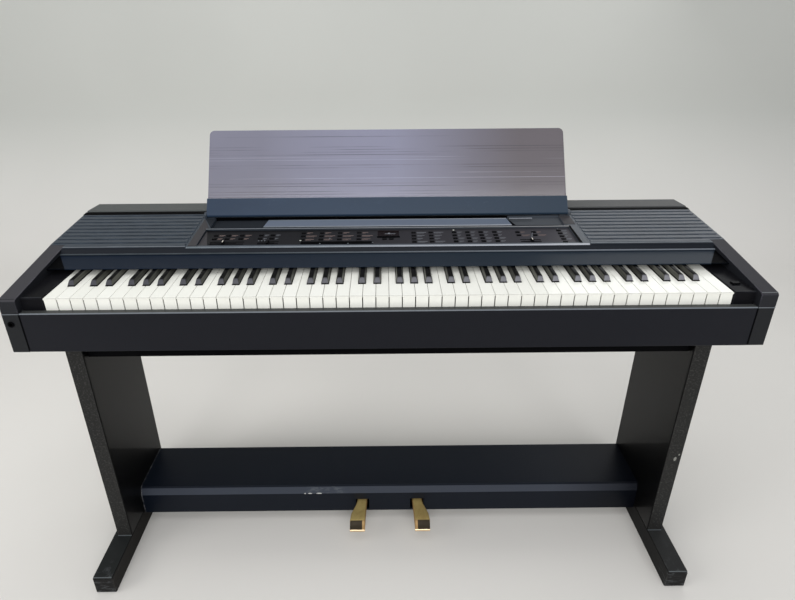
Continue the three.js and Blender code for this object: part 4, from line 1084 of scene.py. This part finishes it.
nose = Mould().rod(moved(NOSE_OUTLINE, lip_high.y, lip_high.z), HAIR - CONSOLE_HALF, CONSOLE_HALF - HAIR)
nose.fix("console_nose", "trim_silver")
Mould(on_lid).rod(rectangle(*BAR_OUTLINE), -PANEL_HALF, PANEL_HALF).fix("panel_back_bar", "lip_dark")
Mould(on_lid).rod(bead(*BAR_TRIM), -PANEL_HALF, PANEL_HALF).fix("panel_back_trim", "bar_trim")
for side, label in SIDES:
    ends = sorted((side * (CONSOLE_HALF + GRILLE_GAP), side * (lip_high.x - GRILLE_END)))
    Mould(on_lid).rod(bead(*GRILLE_TRIM), *ends).fix(f"grille_nose_{label}", "line_grey")
lip_bead = Mould().rod(moved(LIP_OUTLINE, lip_low.y, lip_low.z + HAIR), lip_low.x + HAIR, lip_high.x - HAIR)
lip_bead.fix("lip_bead", "line_lit_right")
print("trim strips laid")

# %% [markdown]
# ## The book tray
# Behind the panel lies a shallow tray where a book stands against the music rest, with a paler
# strip along its front. The tray's floor and walls differ in grey, and they lie partly in shade
# under the rest, so thin plates line them; the black and dark ones are painted shade. They stay so
# thin that the folded rest clears them.

# %% Line the book tray
STRIP_FOOT = TRAY_FRONT + 0.0022
STRIP_LEAN = 0.005
COVER_TOP, COVER_ROUND = STRIP_TOP + 0.0006, 0.0002
LINER_TOP = TRAY_FLOOR + 0.0008
WALL_DEPTH, WALL_TOP = 0.0007, 0.0008
REST_GAP, REST_GAP_END = 0.0022, 0.004
SHADOW_THIN = 0.0006

cover = Mould(on_lid)
cover.prism([(-STRIP_HALF, STRIP_FOOT), (STRIP_HALF, STRIP_FOOT),
             (STRIP_HALF - STRIP_LEAN, STRIP_BACK - HAIR), (STRIP_LEAN - STRIP_HALF, STRIP_BACK - HAIR)],
            STRIP_TOP + HAIR, COVER_TOP)
rounded(cover.fix("book_strip_cover", "book_blue"), COVER_ROUND)

# painted shade: black plates on the tray's back wall and under the rest's bar
rear_shade = Mould(on_lid)
rear_shade.slab(HAIR - TRAY_HALF, STRIP_HALF, TRAY_BACK - WALL_DEPTH, TRAY_BACK - HAIR,
               LINER_TOP + HAIR, WALL_TOP)
rear_shade.slab(-TRAY_HALF - REST_GAP_END, TRAY_HALF + REST_GAP_END, TRAY_BACK + HAIR, TRAY_BACK + REST_GAP,
               HAIR, HAIR + THIN)
rear_shade.fix("tray_rear_shade", "deep_black")

strip_end = Mould(on_lid)
strip_end.prism([(STRIP_HALF + 0.0002, TRAY_FRONT + 0.0004), (STRIP_HALF + 0.0085, TRAY_FRONT + 0.0004),
                 (STRIP_HALF - 0.0045, STRIP_BACK - HAIR)], STRIP_TOP - SHADOW_THIN, STRIP_TOP + THIN)
strip_end.fix("strip_end_shadow", "deep_black")
print("book strip covered, from", STRIP_FOOT, "to", STRIP_BACK)

# %% [markdown]
# The frame around the panel isn't one grey. The bars beside the panel are brownish, the corner
# behind the left one is painted dark as painted shade, and a black plate paints the shade in the gap
# at the panel's right end. Thin flat plates cover each place in its own finish.

# %% Cover the console's sides
SIDE_OUTER, SIDE_INNER, SIDE_BACK = CONSOLE_HALF - 0.0012, PANEL_HALF + HAIR, TRAY_BACK - 0.002
SIDE_MARGIN = 0.003
GAP_FRONT, GAP_NEAR, GAP_FAR = 0.004, 0.0062, 0.0042
END_FRONT, END_BACK, END_THIN = 0.0205, 0.002, 0.0002
REAR_GAPS = ((-1, "left", 0.0145), (1, "right", 0.0105))
REAR_GAP_START, REAR_GAP_END, REAR_GAP_BACK = 0.0005, 0.029, 0.0008


def lid_plate(name, look, outline, low=HAIR, thickness=THIN):
    """A thin plate that lies on the lid, with its corners given as (x, along)."""
    Mould(on_lid).prism(outline, low, low + thickness).fix(name, look)


lid_plate("console_side_left", "frame_brown", [
    (-SIDE_OUTER, SIDE_MARGIN), (-SIDE_INNER, SIDE_MARGIN), (-SIDE_INNER, TRAY_FRONT - 0.001),
    (-TRAY_HALF - SIDE_MARGIN, TRAY_FRONT), (-SIDE_OUTER, SIDE_BACK)])
lid_plate("console_shade_left", "tray_shaded", [
    (-TRAY_HALF - HAIR, TRAY_FRONT + 0.002), (-TRAY_HALF - HAIR, SIDE_BACK), (0.001 - SIDE_OUTER, SIDE_BACK)])
lid_plate("panel_end_left", "frame_brown", [
    (2 * HAIR - SIDE_INNER, PANEL_FRONT + HAIR), (END_FRONT - SIDE_INNER, PANEL_FRONT + HAIR),
    (END_BACK - SIDE_INNER, PANEL_FRONT + PANEL_DEPTH - SIDE_MARGIN)], PANEL_TOP + HAIR, END_THIN)
lid_plate("console_corner_right", "frame_brown",
          rectangle(TRAY_HALF + HAIR, SIDE_OUTER, TRAY_FRONT + SIDE_MARGIN, SIDE_BACK))
lid_plate("console_gap_shade_right", "deep_black", [
    (SIDE_INNER, GAP_FRONT), (SIDE_INNER + GAP_NEAR, GAP_FRONT),
    (SIDE_INNER + GAP_FAR, TRAY_FRONT - SIDE_MARGIN), (SIDE_INNER, TRAY_FRONT - SIDE_MARGIN)])

# black strips at the back of the grilles paint the shade in front of the rear cover's step
lid_back = (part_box("rear_cover")[0].y - LID_EDGE_Y) / math.cos(LID_SLOPE)
for side, label, depth in REAR_GAPS:
    ends = sorted((side * (CONSOLE_HALF + REAR_GAP_START), side * (lip_high.x + REAR_GAP_END)))
    gap = rectangle(*ends, lid_back - depth, lid_back - REAR_GAP_BACK)
    lid_plate(f"rear_gap_shade_{label}", "deep_black", gap, RIB_RISE + HAIR)
print("lid is", round(lid_back, 4), "m deep")

# %% [markdown]
# The last pieces of the tray are the bright edges of the book strip, a low ledge to its right and
# the plates on the tray's floor. The bright edges and the ledge's bright top are painted highlights,
# and the dark floor plates on the left and at the back are painted shade.

# %% Edge the book strip and lay the tray's floor
LEDGE = (STRIP_HALF + 0.001, STRIP_HALF + 0.051)
LEDGE_FRONT = STRIP_BACK - 0.002
LINE_FRONT, LINE_TOP, LINE_END = STRIP_BACK - 0.0024, STRIP_TOP + 0.0009, 0.006
EDGE_BACK, EDGE_TOP = TRAY_FRONT + 0.0021, STRIP_TOP + 0.0012
# painted highlights: pale lines along the book strip's edges and on the ledge's top
TRAY_PIECES = [
    # name, look, outline across X, left, right
    ("book_strip_line", "trim_silver", bead(LINE_FRONT, STRIP_BACK - HAIR, COVER_TOP + HAIR, LINE_TOP),
     LINE_END - STRIP_HALF, STRIP_HALF - LINE_END),
    ("book_strip_edge", "trim_silver", bead(TRAY_FRONT + HAIR, EDGE_BACK, STRIP_TOP + HAIR, EDGE_TOP),
     -STRIP_HALF, STRIP_HALF),
    ("tray_ledge", "tray_grey",
     rectangle(LEDGE_FRONT, STRIP_BACK - HAIR, LINER_TOP + HAIR, STRIP_TOP + THIN), *LEDGE),
    ("tray_ledge_line", "trim_silver",
     bead(LEDGE_FRONT, STRIP_BACK - HAIR, STRIP_TOP + THIN + HAIR, LINE_TOP), *LEDGE),
]
for name, look, outline, left, right in TRAY_PIECES:
    Mould(on_lid).rod(outline, left, right).fix(name, look)

LINER_GAP = 0.001
# the left and back floor plates are painted shade; the right one has the tray's own grey
TRAY_FLOORS = [
    # name, look, left, right, front
    ("tray_shade_left", "tray_shaded", HAIR - TRAY_HALF, -STRIP_HALF - HAIR, TRAY_FRONT + HAIR),
    ("tray_liner_right", "tray_grey", STRIP_HALF + HAIR, TRAY_HALF - HAIR, TRAY_FRONT + HAIR),
    ("tray_shade_back", "deep_black", -STRIP_HALF, STRIP_HALF, STRIP_BACK + HAIR),
]
for name, look, left, right, front in TRAY_FLOORS:
    liner = Mould(on_lid).slab(left, right, front, TRAY_BACK - LINER_GAP, TRAY_FLOOR + HAIR, LINER_TOP)
    liner.fix(name, look)
print("tray pieces:", len(TRAY_PIECES) + len(TRAY_FLOORS))

# %% [markdown]
# ## The panel's print
# Beside every button stands a legend. The print here is plain dashes, because words on it wouldn't
# belong to a part that has no maker. The buttons stand in seven blocks, so a table of shares of
# the panel's size gives their columns and rows.

# %% Print the panel's dashes
PRINT_HEIGHT = 0.00012
CAP_HALF = 0.0045
DASH_GAP = 0.0022
DASH_DEPTH = 0.0014
LOWER_DEPTH = DASH_DEPTH * 0.6
UPPER_DASH, LOWER_DASH = 0.0008, -0.0026
ROW_STEP_SHARE, LOWER_SHARE = 0.22, 0.25
PRINT = (PANEL_TOP + HAIR, PANEL_TOP + HAIR + PRINT_HEIGHT)
BUTTON_BLOCKS = [
    # column shares, row shares, dash length, look
    ((-0.931, -0.863, -0.79), (0.67, 0.47), 0.0125, "print_brown"),
    ((-0.686, -0.624), (0.67, 0.47), 0.012, "print_grey"),
    ((-0.458, -0.359, -0.26, -0.156), (0.79, 0.59, 0.385), 0.022, "print_brown"),
    ((0.14, 0.234), (0.76, 0.57, 0.385, 0.2), 0.02, "print_grey"),
    ((0.361, 0.434, 0.507, 0.582), (0.76, 0.57, 0.385, 0.2), 0.0125, "print_grey"),
    ((0.707, 0.795), (0.73, 0.54), 0.017, "print_brown"),
    ((0.936,), (0.82, 0.645, 0.47, 0.3), 0.011, "print_grey"),
]


def panel_place(column_share, row_share):
    return column_share * PANEL_HALF, PANEL_FRONT + row_share * PANEL_DEPTH


def dash_pair(mould, column, row, length, share):
    x, y = panel_place(column, row)
    start, upper, lower = x + CAP_HALF + DASH_GAP, y + UPPER_DASH, y + LOWER_DASH
    mould.slab(start, start + length * share, upper, upper + DASH_DEPTH, *PRINT)
    mould.slab(start, start + length * (share - LOWER_SHARE), lower, lower + LOWER_DEPTH, *PRINT)


for look in ("print_brown", "print_grey"):
    mould = Mould(on_lid)
    for number, (columns, rows, length, used) in enumerate(BUTTON_BLOCKS):
        if used != look:
            continue
        for column in columns:
            for turn, row in enumerate(rows):
                dash_pair(mould, column, row, length, 1 - ROW_STEP_SHARE * ((turn + number) % 3))
    mould.fix(f"{look}_dashes", look, "panel_plastic")
print("legends:", sum(len(columns) * len(rows) for columns, rows, _, _ in BUTTON_BLOCKS))

# %% [markdown]
# The sliders run between two black tracks, and small lamps stand in front of some buttons. All of
# these are thinner than a solid can be in CAD, so they are drawn here: slabs for the tracks and
# eight-sided dots for the lamps.

# %% Add the tracks, the small lamps and the fine marks
SLIDER_ROW = 0.21
TRACKS = ((-0.855, 0.035), (-0.635, 0.021), (0.757, 0.021))
TRACK_STRIPES = ((-0.0052, 0.003), (0.0034, 0.0026))
RHYTHM_BAND = (-0.462, 0.1), (-0.08, 0.27)
DISPLAY_BAND = (-0.058, 0.46), (0.064, 0.56)
LAMP_SIDES = 8
LAMP_HEIGHTS = (PANEL_TOP + 0.0003, PANEL_TOP + 0.0009)
LAMP_ROWS = [
    # name, look, radius, column and row shares
    ("panel_lamps_bright", "lamp_pale", 0.0021, ((-0.466, 0.33), (0.362, 0.9))),
    ("panel_lamps_dim", "line_grey", 0.0014,
     ((-0.688, 0.33), (-0.672, 0.33), (-0.656, 0.33), (-0.359, 0.13), (-0.311, 0.45), (-0.211, 0.13),
      (-0.081, 0.18), (0.936, 0.92))),
]

bands = Mould(on_lid)
for column, half in TRACKS:
    x, y = panel_place(column, SLIDER_ROW)
    for offset, depth in TRACK_STRIPES:
        bands.slab(x - half, x + half, y + offset, y + offset + depth, *PRINT)
for corners, lift, thickness in ((RHYTHM_BAND, 0.0, PRINT_HEIGHT), (DISPLAY_BAND, THIN, HAIR)):
    (left, front), (right, back) = [panel_place(*corner) for corner in corners]
    bands.slab(left, right, front, back, PRINT[0] + lift, PRINT[0] + lift + thickness)
bands.fix("panel_black_bands", "deep_black", "panel_plastic")

for name, look, radius, places in LAMP_ROWS:
    mould = Mould(on_lid)
    for place in places:
        x, y = panel_place(*place)
        turns = [2 * math.pi * k / LAMP_SIDES for k in range(LAMP_SIDES)]
        ring = [(x + radius * math.cos(turn), y + radius * math.sin(turn)) for turn in turns]
        mould.prism(ring, *LAMP_HEIGHTS)
    mould.fix(name, look, "panel_plastic")
print("tracks:", len(TRACKS), "lamps:", sum(len(places) for _, _, _, places in LAMP_ROWS))

# %% [markdown]
# Two marks are left: the thin scale behind the tempo slider, which leans, and the faint figure in
# the display.

# %% Draw the scale and the display's figure
marks = Mould(on_lid)
x, y = panel_place(0.767, 0.35)
marks.prism([(x, y), (x + 0.001, y), (x + 0.0105, y + 0.032), (x + 0.0095, y + 0.032)],
            PANEL_TOP + 0.0003, PANEL_TOP + 0.0006)
x, y = panel_place(0.013, 0.69)
figure = (PANEL_TOP + 0.0007, PANEL_TOP + 0.0009)
marks.slab(x - 0.011, x + 0.011, y - 0.0009, y + 0.0009, *figure)
marks.slab(x - 0.0045, x - 0.0005, y + 0.0012, y + 0.0045, *figure)
marks.fix("panel_fine_marks", "print_grey", "panel_plastic")
print("panel printed")

# %% [markdown]
# ## Thin lines on the case
# Three thin things make the case read as separate boards: the bright front corner of the rail, a
# painted highlight; the seam between each side and its cap; and dark strips at the rail's ends,
# painted shade in the gaps there.

# %% Draw the rail's and the sides' lines
rail_low, rail_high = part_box("front_rail")
RAIL_CHAMFER = 0.0015
SKEW = 0.0002
SEAM_INSET, SEAM_DEPTH, SEAM_HEIGHT = 0.0003, 0.0005, 0.0014
JOINT_SHIFT, JOINT_HALF, JOINT_FOOT = 0.00015, 0.0014, 0.001

front, top = rail_low.y, rail_high.z
# painted highlight: a pale strip on the rail's top front corner
corner = Mould().rod([
    (front - HAIR, top - RAIL_CHAMFER), (front + RAIL_CHAMFER, top + HAIR),
    (front + RAIL_CHAMFER - SKEW, top + THIN),
    (front - THIN, top - RAIL_CHAMFER + SKEW)], rail_low.x + HAIR, rail_high.x - HAIR)
corner.fix("rail_corner", "line_grey", "case_vinyl")


def case_slab(name, look, sides, fronts, heights):
    Mould().slab(*sides, *fronts, *heights).fix(name, look, "case_vinyl")


def inset(low, high, margin):
    """The two sides of a box in X, drawn in by a margin."""
    return (low.x + margin, high.x - margin)


for side, label in SIDES:
    panel_low, panel_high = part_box(f"side_panel_{label}")
    front, top = panel_low.y, panel_high.z
    case_slab(f"seam_line_{label}", "line_grey", inset(panel_low, panel_high, SEAM_INSET),
              (front - SEAM_DEPTH, front - HAIR), (top - SEAM_HEIGHT, top + HAIR))
    # black strips paint the shade in the gaps at the rail's ends
    joint = side * (rail_high.x + JOINT_SHIFT)
    case_slab(f"rail_end_shade_{label}", "deep_black", (joint - JOINT_HALF, joint + JOINT_HALF),
              (front - THIN, front - HAIR), (rail_low.z + JOINT_FOOT, top - SEAM_HEIGHT - 2 * HAIR))
print("rail and seams drawn")

# %% [markdown]
# Light catches the edges that stick out: the arms, the key blocks, the feet and the legs' front
# edges. A thin pale strip draws each, a painted highlight with some wear in it. The arm's crest is a
# corner of a solid that no box gives, so it is looked up among the solid's own corners.

# %% Draw the edge highlights and the painted shade
EDGE_LINE_FROM, EDGE_LINE_TO, EDGE_LINE_RISE = 0.0006, 0.0022, 0.0003
ARM_NOSE, ARM_NOSE_DEPTH = 0.005, 0.01
ARM_LINE = (-0.0012, 0.0006)
FOOT_LINE_DEPTH, FOOT_LINE_HEIGHT = 0.0016, 0.001
FALLBOARD_EDGE, FALLBOARD_DEPTH = 0.002, 0.0525
END_SHADE_WIDTH, END_SHADE_DEPTH = 0.034, 0.048
FLOOR_PLATE_HALF, FLOOR_PLATE_INSET = 0.11, 0.007


def edge_strip(name, look, sides, front, top):
    """A thin pale strip just behind and above a front edge: a painted highlight with some wear."""
    case_slab(name, look, sides, (front + EDGE_LINE_FROM, front + EDGE_LINE_TO), (top - HAIR, top + EDGE_LINE_RISE))


def arm_line(label, look):
    """A pale line of painted highlight, with some wear, along the top front edge of an arm, which the CAD
    solid's corners place.
    """
    arm = frame["nodes"][f"side_cap_{label}"]
    points = [arm.matrix_world @ corner.co for corner in arm.data.vertices]
    front = min(point.y for point in points)
    crest = max(point.z for point in points if point.y < front + ARM_NOSE)
    edge = max(p.y for p in points if p.z > crest - EDGE_LINE_RISE and p.y < front + ARM_NOSE_DEPTH)
    sides = (min(point.x for point in points) + 0.001, max(point.x for point in points) - 0.001)
    case_slab(f"arm_line_{label}", look, sides, (edge + ARM_LINE[0], edge + ARM_LINE[1]),
              (crest - EDGE_LINE_RISE, crest + 2 * HAIR))


def end_shade(side, label):
    """Thin black plates of painted shade on the outer front corner of the fallboard and down its edge,
    against the arm.
    """
    low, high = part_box("fallboard")
    rise = (high.z - low.z - FALLBOARD_EDGE) / FALLBOARD_DEPTH
    outer, inner = side * (high.x - THIN), side * (high.x - END_SHADE_WIDTH)
    flat = [(outer, low.y + EDGE_LINE_FROM), (inner, low.y + EDGE_LINE_FROM), (outer, low.y + END_SHADE_DEPTH)]
    lower = [(x, y, low.z + FALLBOARD_EDGE + 2 * HAIR + rise * (y - low.y)) for x, y in flat]
    upper = [(x, y, z + THIN) for x, y, z in lower]
    shade_plate = Mould().loft([lower, upper])
    shade_plate.slab(*sorted((outer, inner)), low.y - THIN, low.y - HAIR,
             low.z + HAIR, low.z + FALLBOARD_EDGE + 2 * HAIR)
    shade_plate.fix(f"fallboard_end_shade_{label}", "deep_black", "case_vinyl")


for side, label, arm_look in ((-1, "left", "edge_highlight_faint"), (1, "right", "edge_highlight_worn")):
    arm_line(label, arm_look)
    end_shade(side, label)
    low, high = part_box(f"key_block_{label}")
    edge_strip(f"block_line_{label}", "edge_highlight_faint", inset(low, high, 0.001), low.y, high.z)
    low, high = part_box(f"foot_{label}")
    edge_strip(f"foot_line_{label}", "edge_highlight_worn", inset(low, high, 0.002), low.y, high.z)
    low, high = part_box(f"leg_{label}")
    case_slab(f"leg_line_{label}", "edge_highlight_worn", inset(low, high, 0.001),
              (low.y - FOOT_LINE_DEPTH, low.y - HAIR), (low.z + HAIR, low.z + HAIR + FOOT_LINE_HEIGHT))

# a black plate on the pedal box's floor paints the shade inside the box
low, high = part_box("pedal_box")
case_slab("pedal_box_shade", "deep_black", (-FLOOR_PLATE_HALF, FLOOR_PLATE_HALF),
          (low.y + FLOOR_PLATE_INSET, high.y - FLOOR_PLATE_INSET), (low.z + 2 * HAIR, low.z + 0.0011))
print("case lines drawn")

# %% [markdown]
# ## Slider caps
# The knobs are black blocks that slant to a ridge, and two of them have a white line on the ridge.
# Four cross-sections give the slants, and a thin stem reaches down into the slot.

# %% Shape the slider caps
CAP_REACH, RIDGE_SHARE, MARK_SHARE = 0.0055, 0.6, 0.75
CAP_FOOT, CAP_SHOULDER, CAP_CREST = PANEL_TOP + 0.0004, PANEL_TOP + 0.0014, PANEL_TOP + 0.0046
CAP_SLANT = 0.0012
RIDGE_HALF, MARK_HALF = 0.0009, 0.00085
STEM_HALF, STEM_HALF_DEPTH, STEM_LENGTH = 0.0018, 0.0008, 0.003


def slider_cap(name, marked):
    low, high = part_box(name)
    middle, half = (low.x + high.x) / 2, (high.x - low.x) / 2
    row = panel_place(0, SLIDER_ROW)[1]
    sections = ((row - CAP_REACH, CAP_CREST - CAP_SLANT), (row - CAP_REACH * RIDGE_SHARE, CAP_CREST),
                (row + CAP_REACH * RIDGE_SHARE, CAP_CREST), (row + CAP_REACH, CAP_CREST - CAP_SLANT))
    cap = Mould(on_lid).loft([[
        (middle - half, y, CAP_FOOT), (middle + half, y, CAP_FOOT), (middle + half, y, CAP_SHOULDER),
        (middle + RIDGE_HALF, y, top), (middle - RIDGE_HALF, y, top), (middle - half, y, CAP_SHOULDER)]
        for y, top in sections])
    cap.slab(middle - STEM_HALF, middle + STEM_HALF, row - STEM_HALF_DEPTH, row + STEM_HALF_DEPTH,
             PANEL_TOP - STEM_LENGTH, CAP_FOOT - HAIR)
    settle(cap.cast(f"{name}_cap"), name, "knob_pale", "cap_grey", replaced=name)
    if marked:
        line = Mould(on_lid).slab(middle - MARK_HALF, middle + MARK_HALF, row - CAP_REACH * RIDGE_SHARE,
                                  row + CAP_REACH * MARK_SHARE, CAP_CREST + HAIR, CAP_CREST + THIN)
        settle(line.cast(f"{name}_line"), name, "knob_pale")


for slider_name, marked in (("slider_volume", True), ("slider_rhythm", False), ("slider_tempo", True)):
    slider_cap(slider_name, marked)
print("slider caps shaped")

# %% [markdown]
# ## The pedals
# A pedal is a brass tongue that comes straight out of the box and widens into a foot plate with a
# rounded lip. Lofting rounded cross-sections along it gives both in one skin.

# %% Loft the pedals
PEDAL_STATIONS = [
    # share of the length, then edge near the middle, far edge, low, high, radius in metres
    (0.0, 0.0050, 0.0382, 0.0006, 0.0040, 0.0012),
    (0.008, 0.0042, 0.0390, 0.0001, 0.0050, 0.0018),
    (0.016, 0.0044, 0.0388, 0.0001, 0.0062, 0.0020),
    (0.03, 0.0046, 0.0386, 0.0004, 0.0115, 0.0020),
    (0.07, 0.0045, 0.0387, 0.0012, 0.0178, 0.0020),
    (0.095, 0.0043, 0.0388, 0.0020, 0.0206, 0.0020),
    (0.105, 0.0042, 0.0388, 0.0024, 0.0211, 0.0022),
    (0.21, 0.0034, 0.0368, 0.0053, 0.0222, 0.0030),
    (0.28, 0.0027, 0.0322, 0.0072, 0.0238, 0.0034),
    (0.36, 0.0018, 0.0264, 0.0102, 0.0262, 0.0036),
    (0.45, 0.0006, 0.0233, 0.0135, 0.0287, 0.0036),
    (0.52, 0.0002, 0.0229, 0.0168, 0.0320, 0.0034),
    (0.80, 0.0002, 0.0229, 0.0280, 0.0420, 0.0034),
    (1.0, 0.0002, 0.0229, 0.0340, 0.0458, 0.0034),
]
CORNERS = ((1, -1, -90), (1, 1, 0), (-1, 1, 90), (-1, -1, 180))
FLAT_SHARE = 0.95


def rounded_section(middle, y, half, low, high, radius, steps=4):
    """A rounded rectangle across X, seen along Y."""
    points = []
    centre_z, half_z = (low + high) / 2, (high - low) / 2
    radius = min(radius, half * FLAT_SHARE, half_z * FLAT_SHARE)
    for sign_x, sign_z, start in CORNERS:
        for step in range(steps + 1):
            angle = math.radians(start + 90 * step / steps)
            x = middle + sign_x * (half - radius) + radius * math.cos(angle)
            z = centre_z + sign_z * (half_z - radius) + radius * math.sin(angle)
            points.append((x, y, z))
    return points


for side, label in SIDES:
    node_name = f"pedal_{label}"
    low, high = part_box(node_name)
    inner = min(abs(low.x), abs(high.x))
    rings = [rounded_section(side * (inner + (near + far) / 2), low.y + share * (high.y - low.y),
                             (far - near) / 2, low.z + bottom, low.z + top, radius)
             for share, near, far, bottom, top, radius in PEDAL_STATIONS]
    piece = Mould().loft(rings).cast(f"brass_{node_name}", smooth=True)
    settle(piece, node_name, "brass", replaced=node_name)
print("pedals lofted from", len(PEDAL_STATIONS), "sections each")

# %% [markdown]
# ## The box of the CAD solids
# The dressed instrument has to stay inside the box of the CAD solids, because others fit it into
# their own rooms by that box.
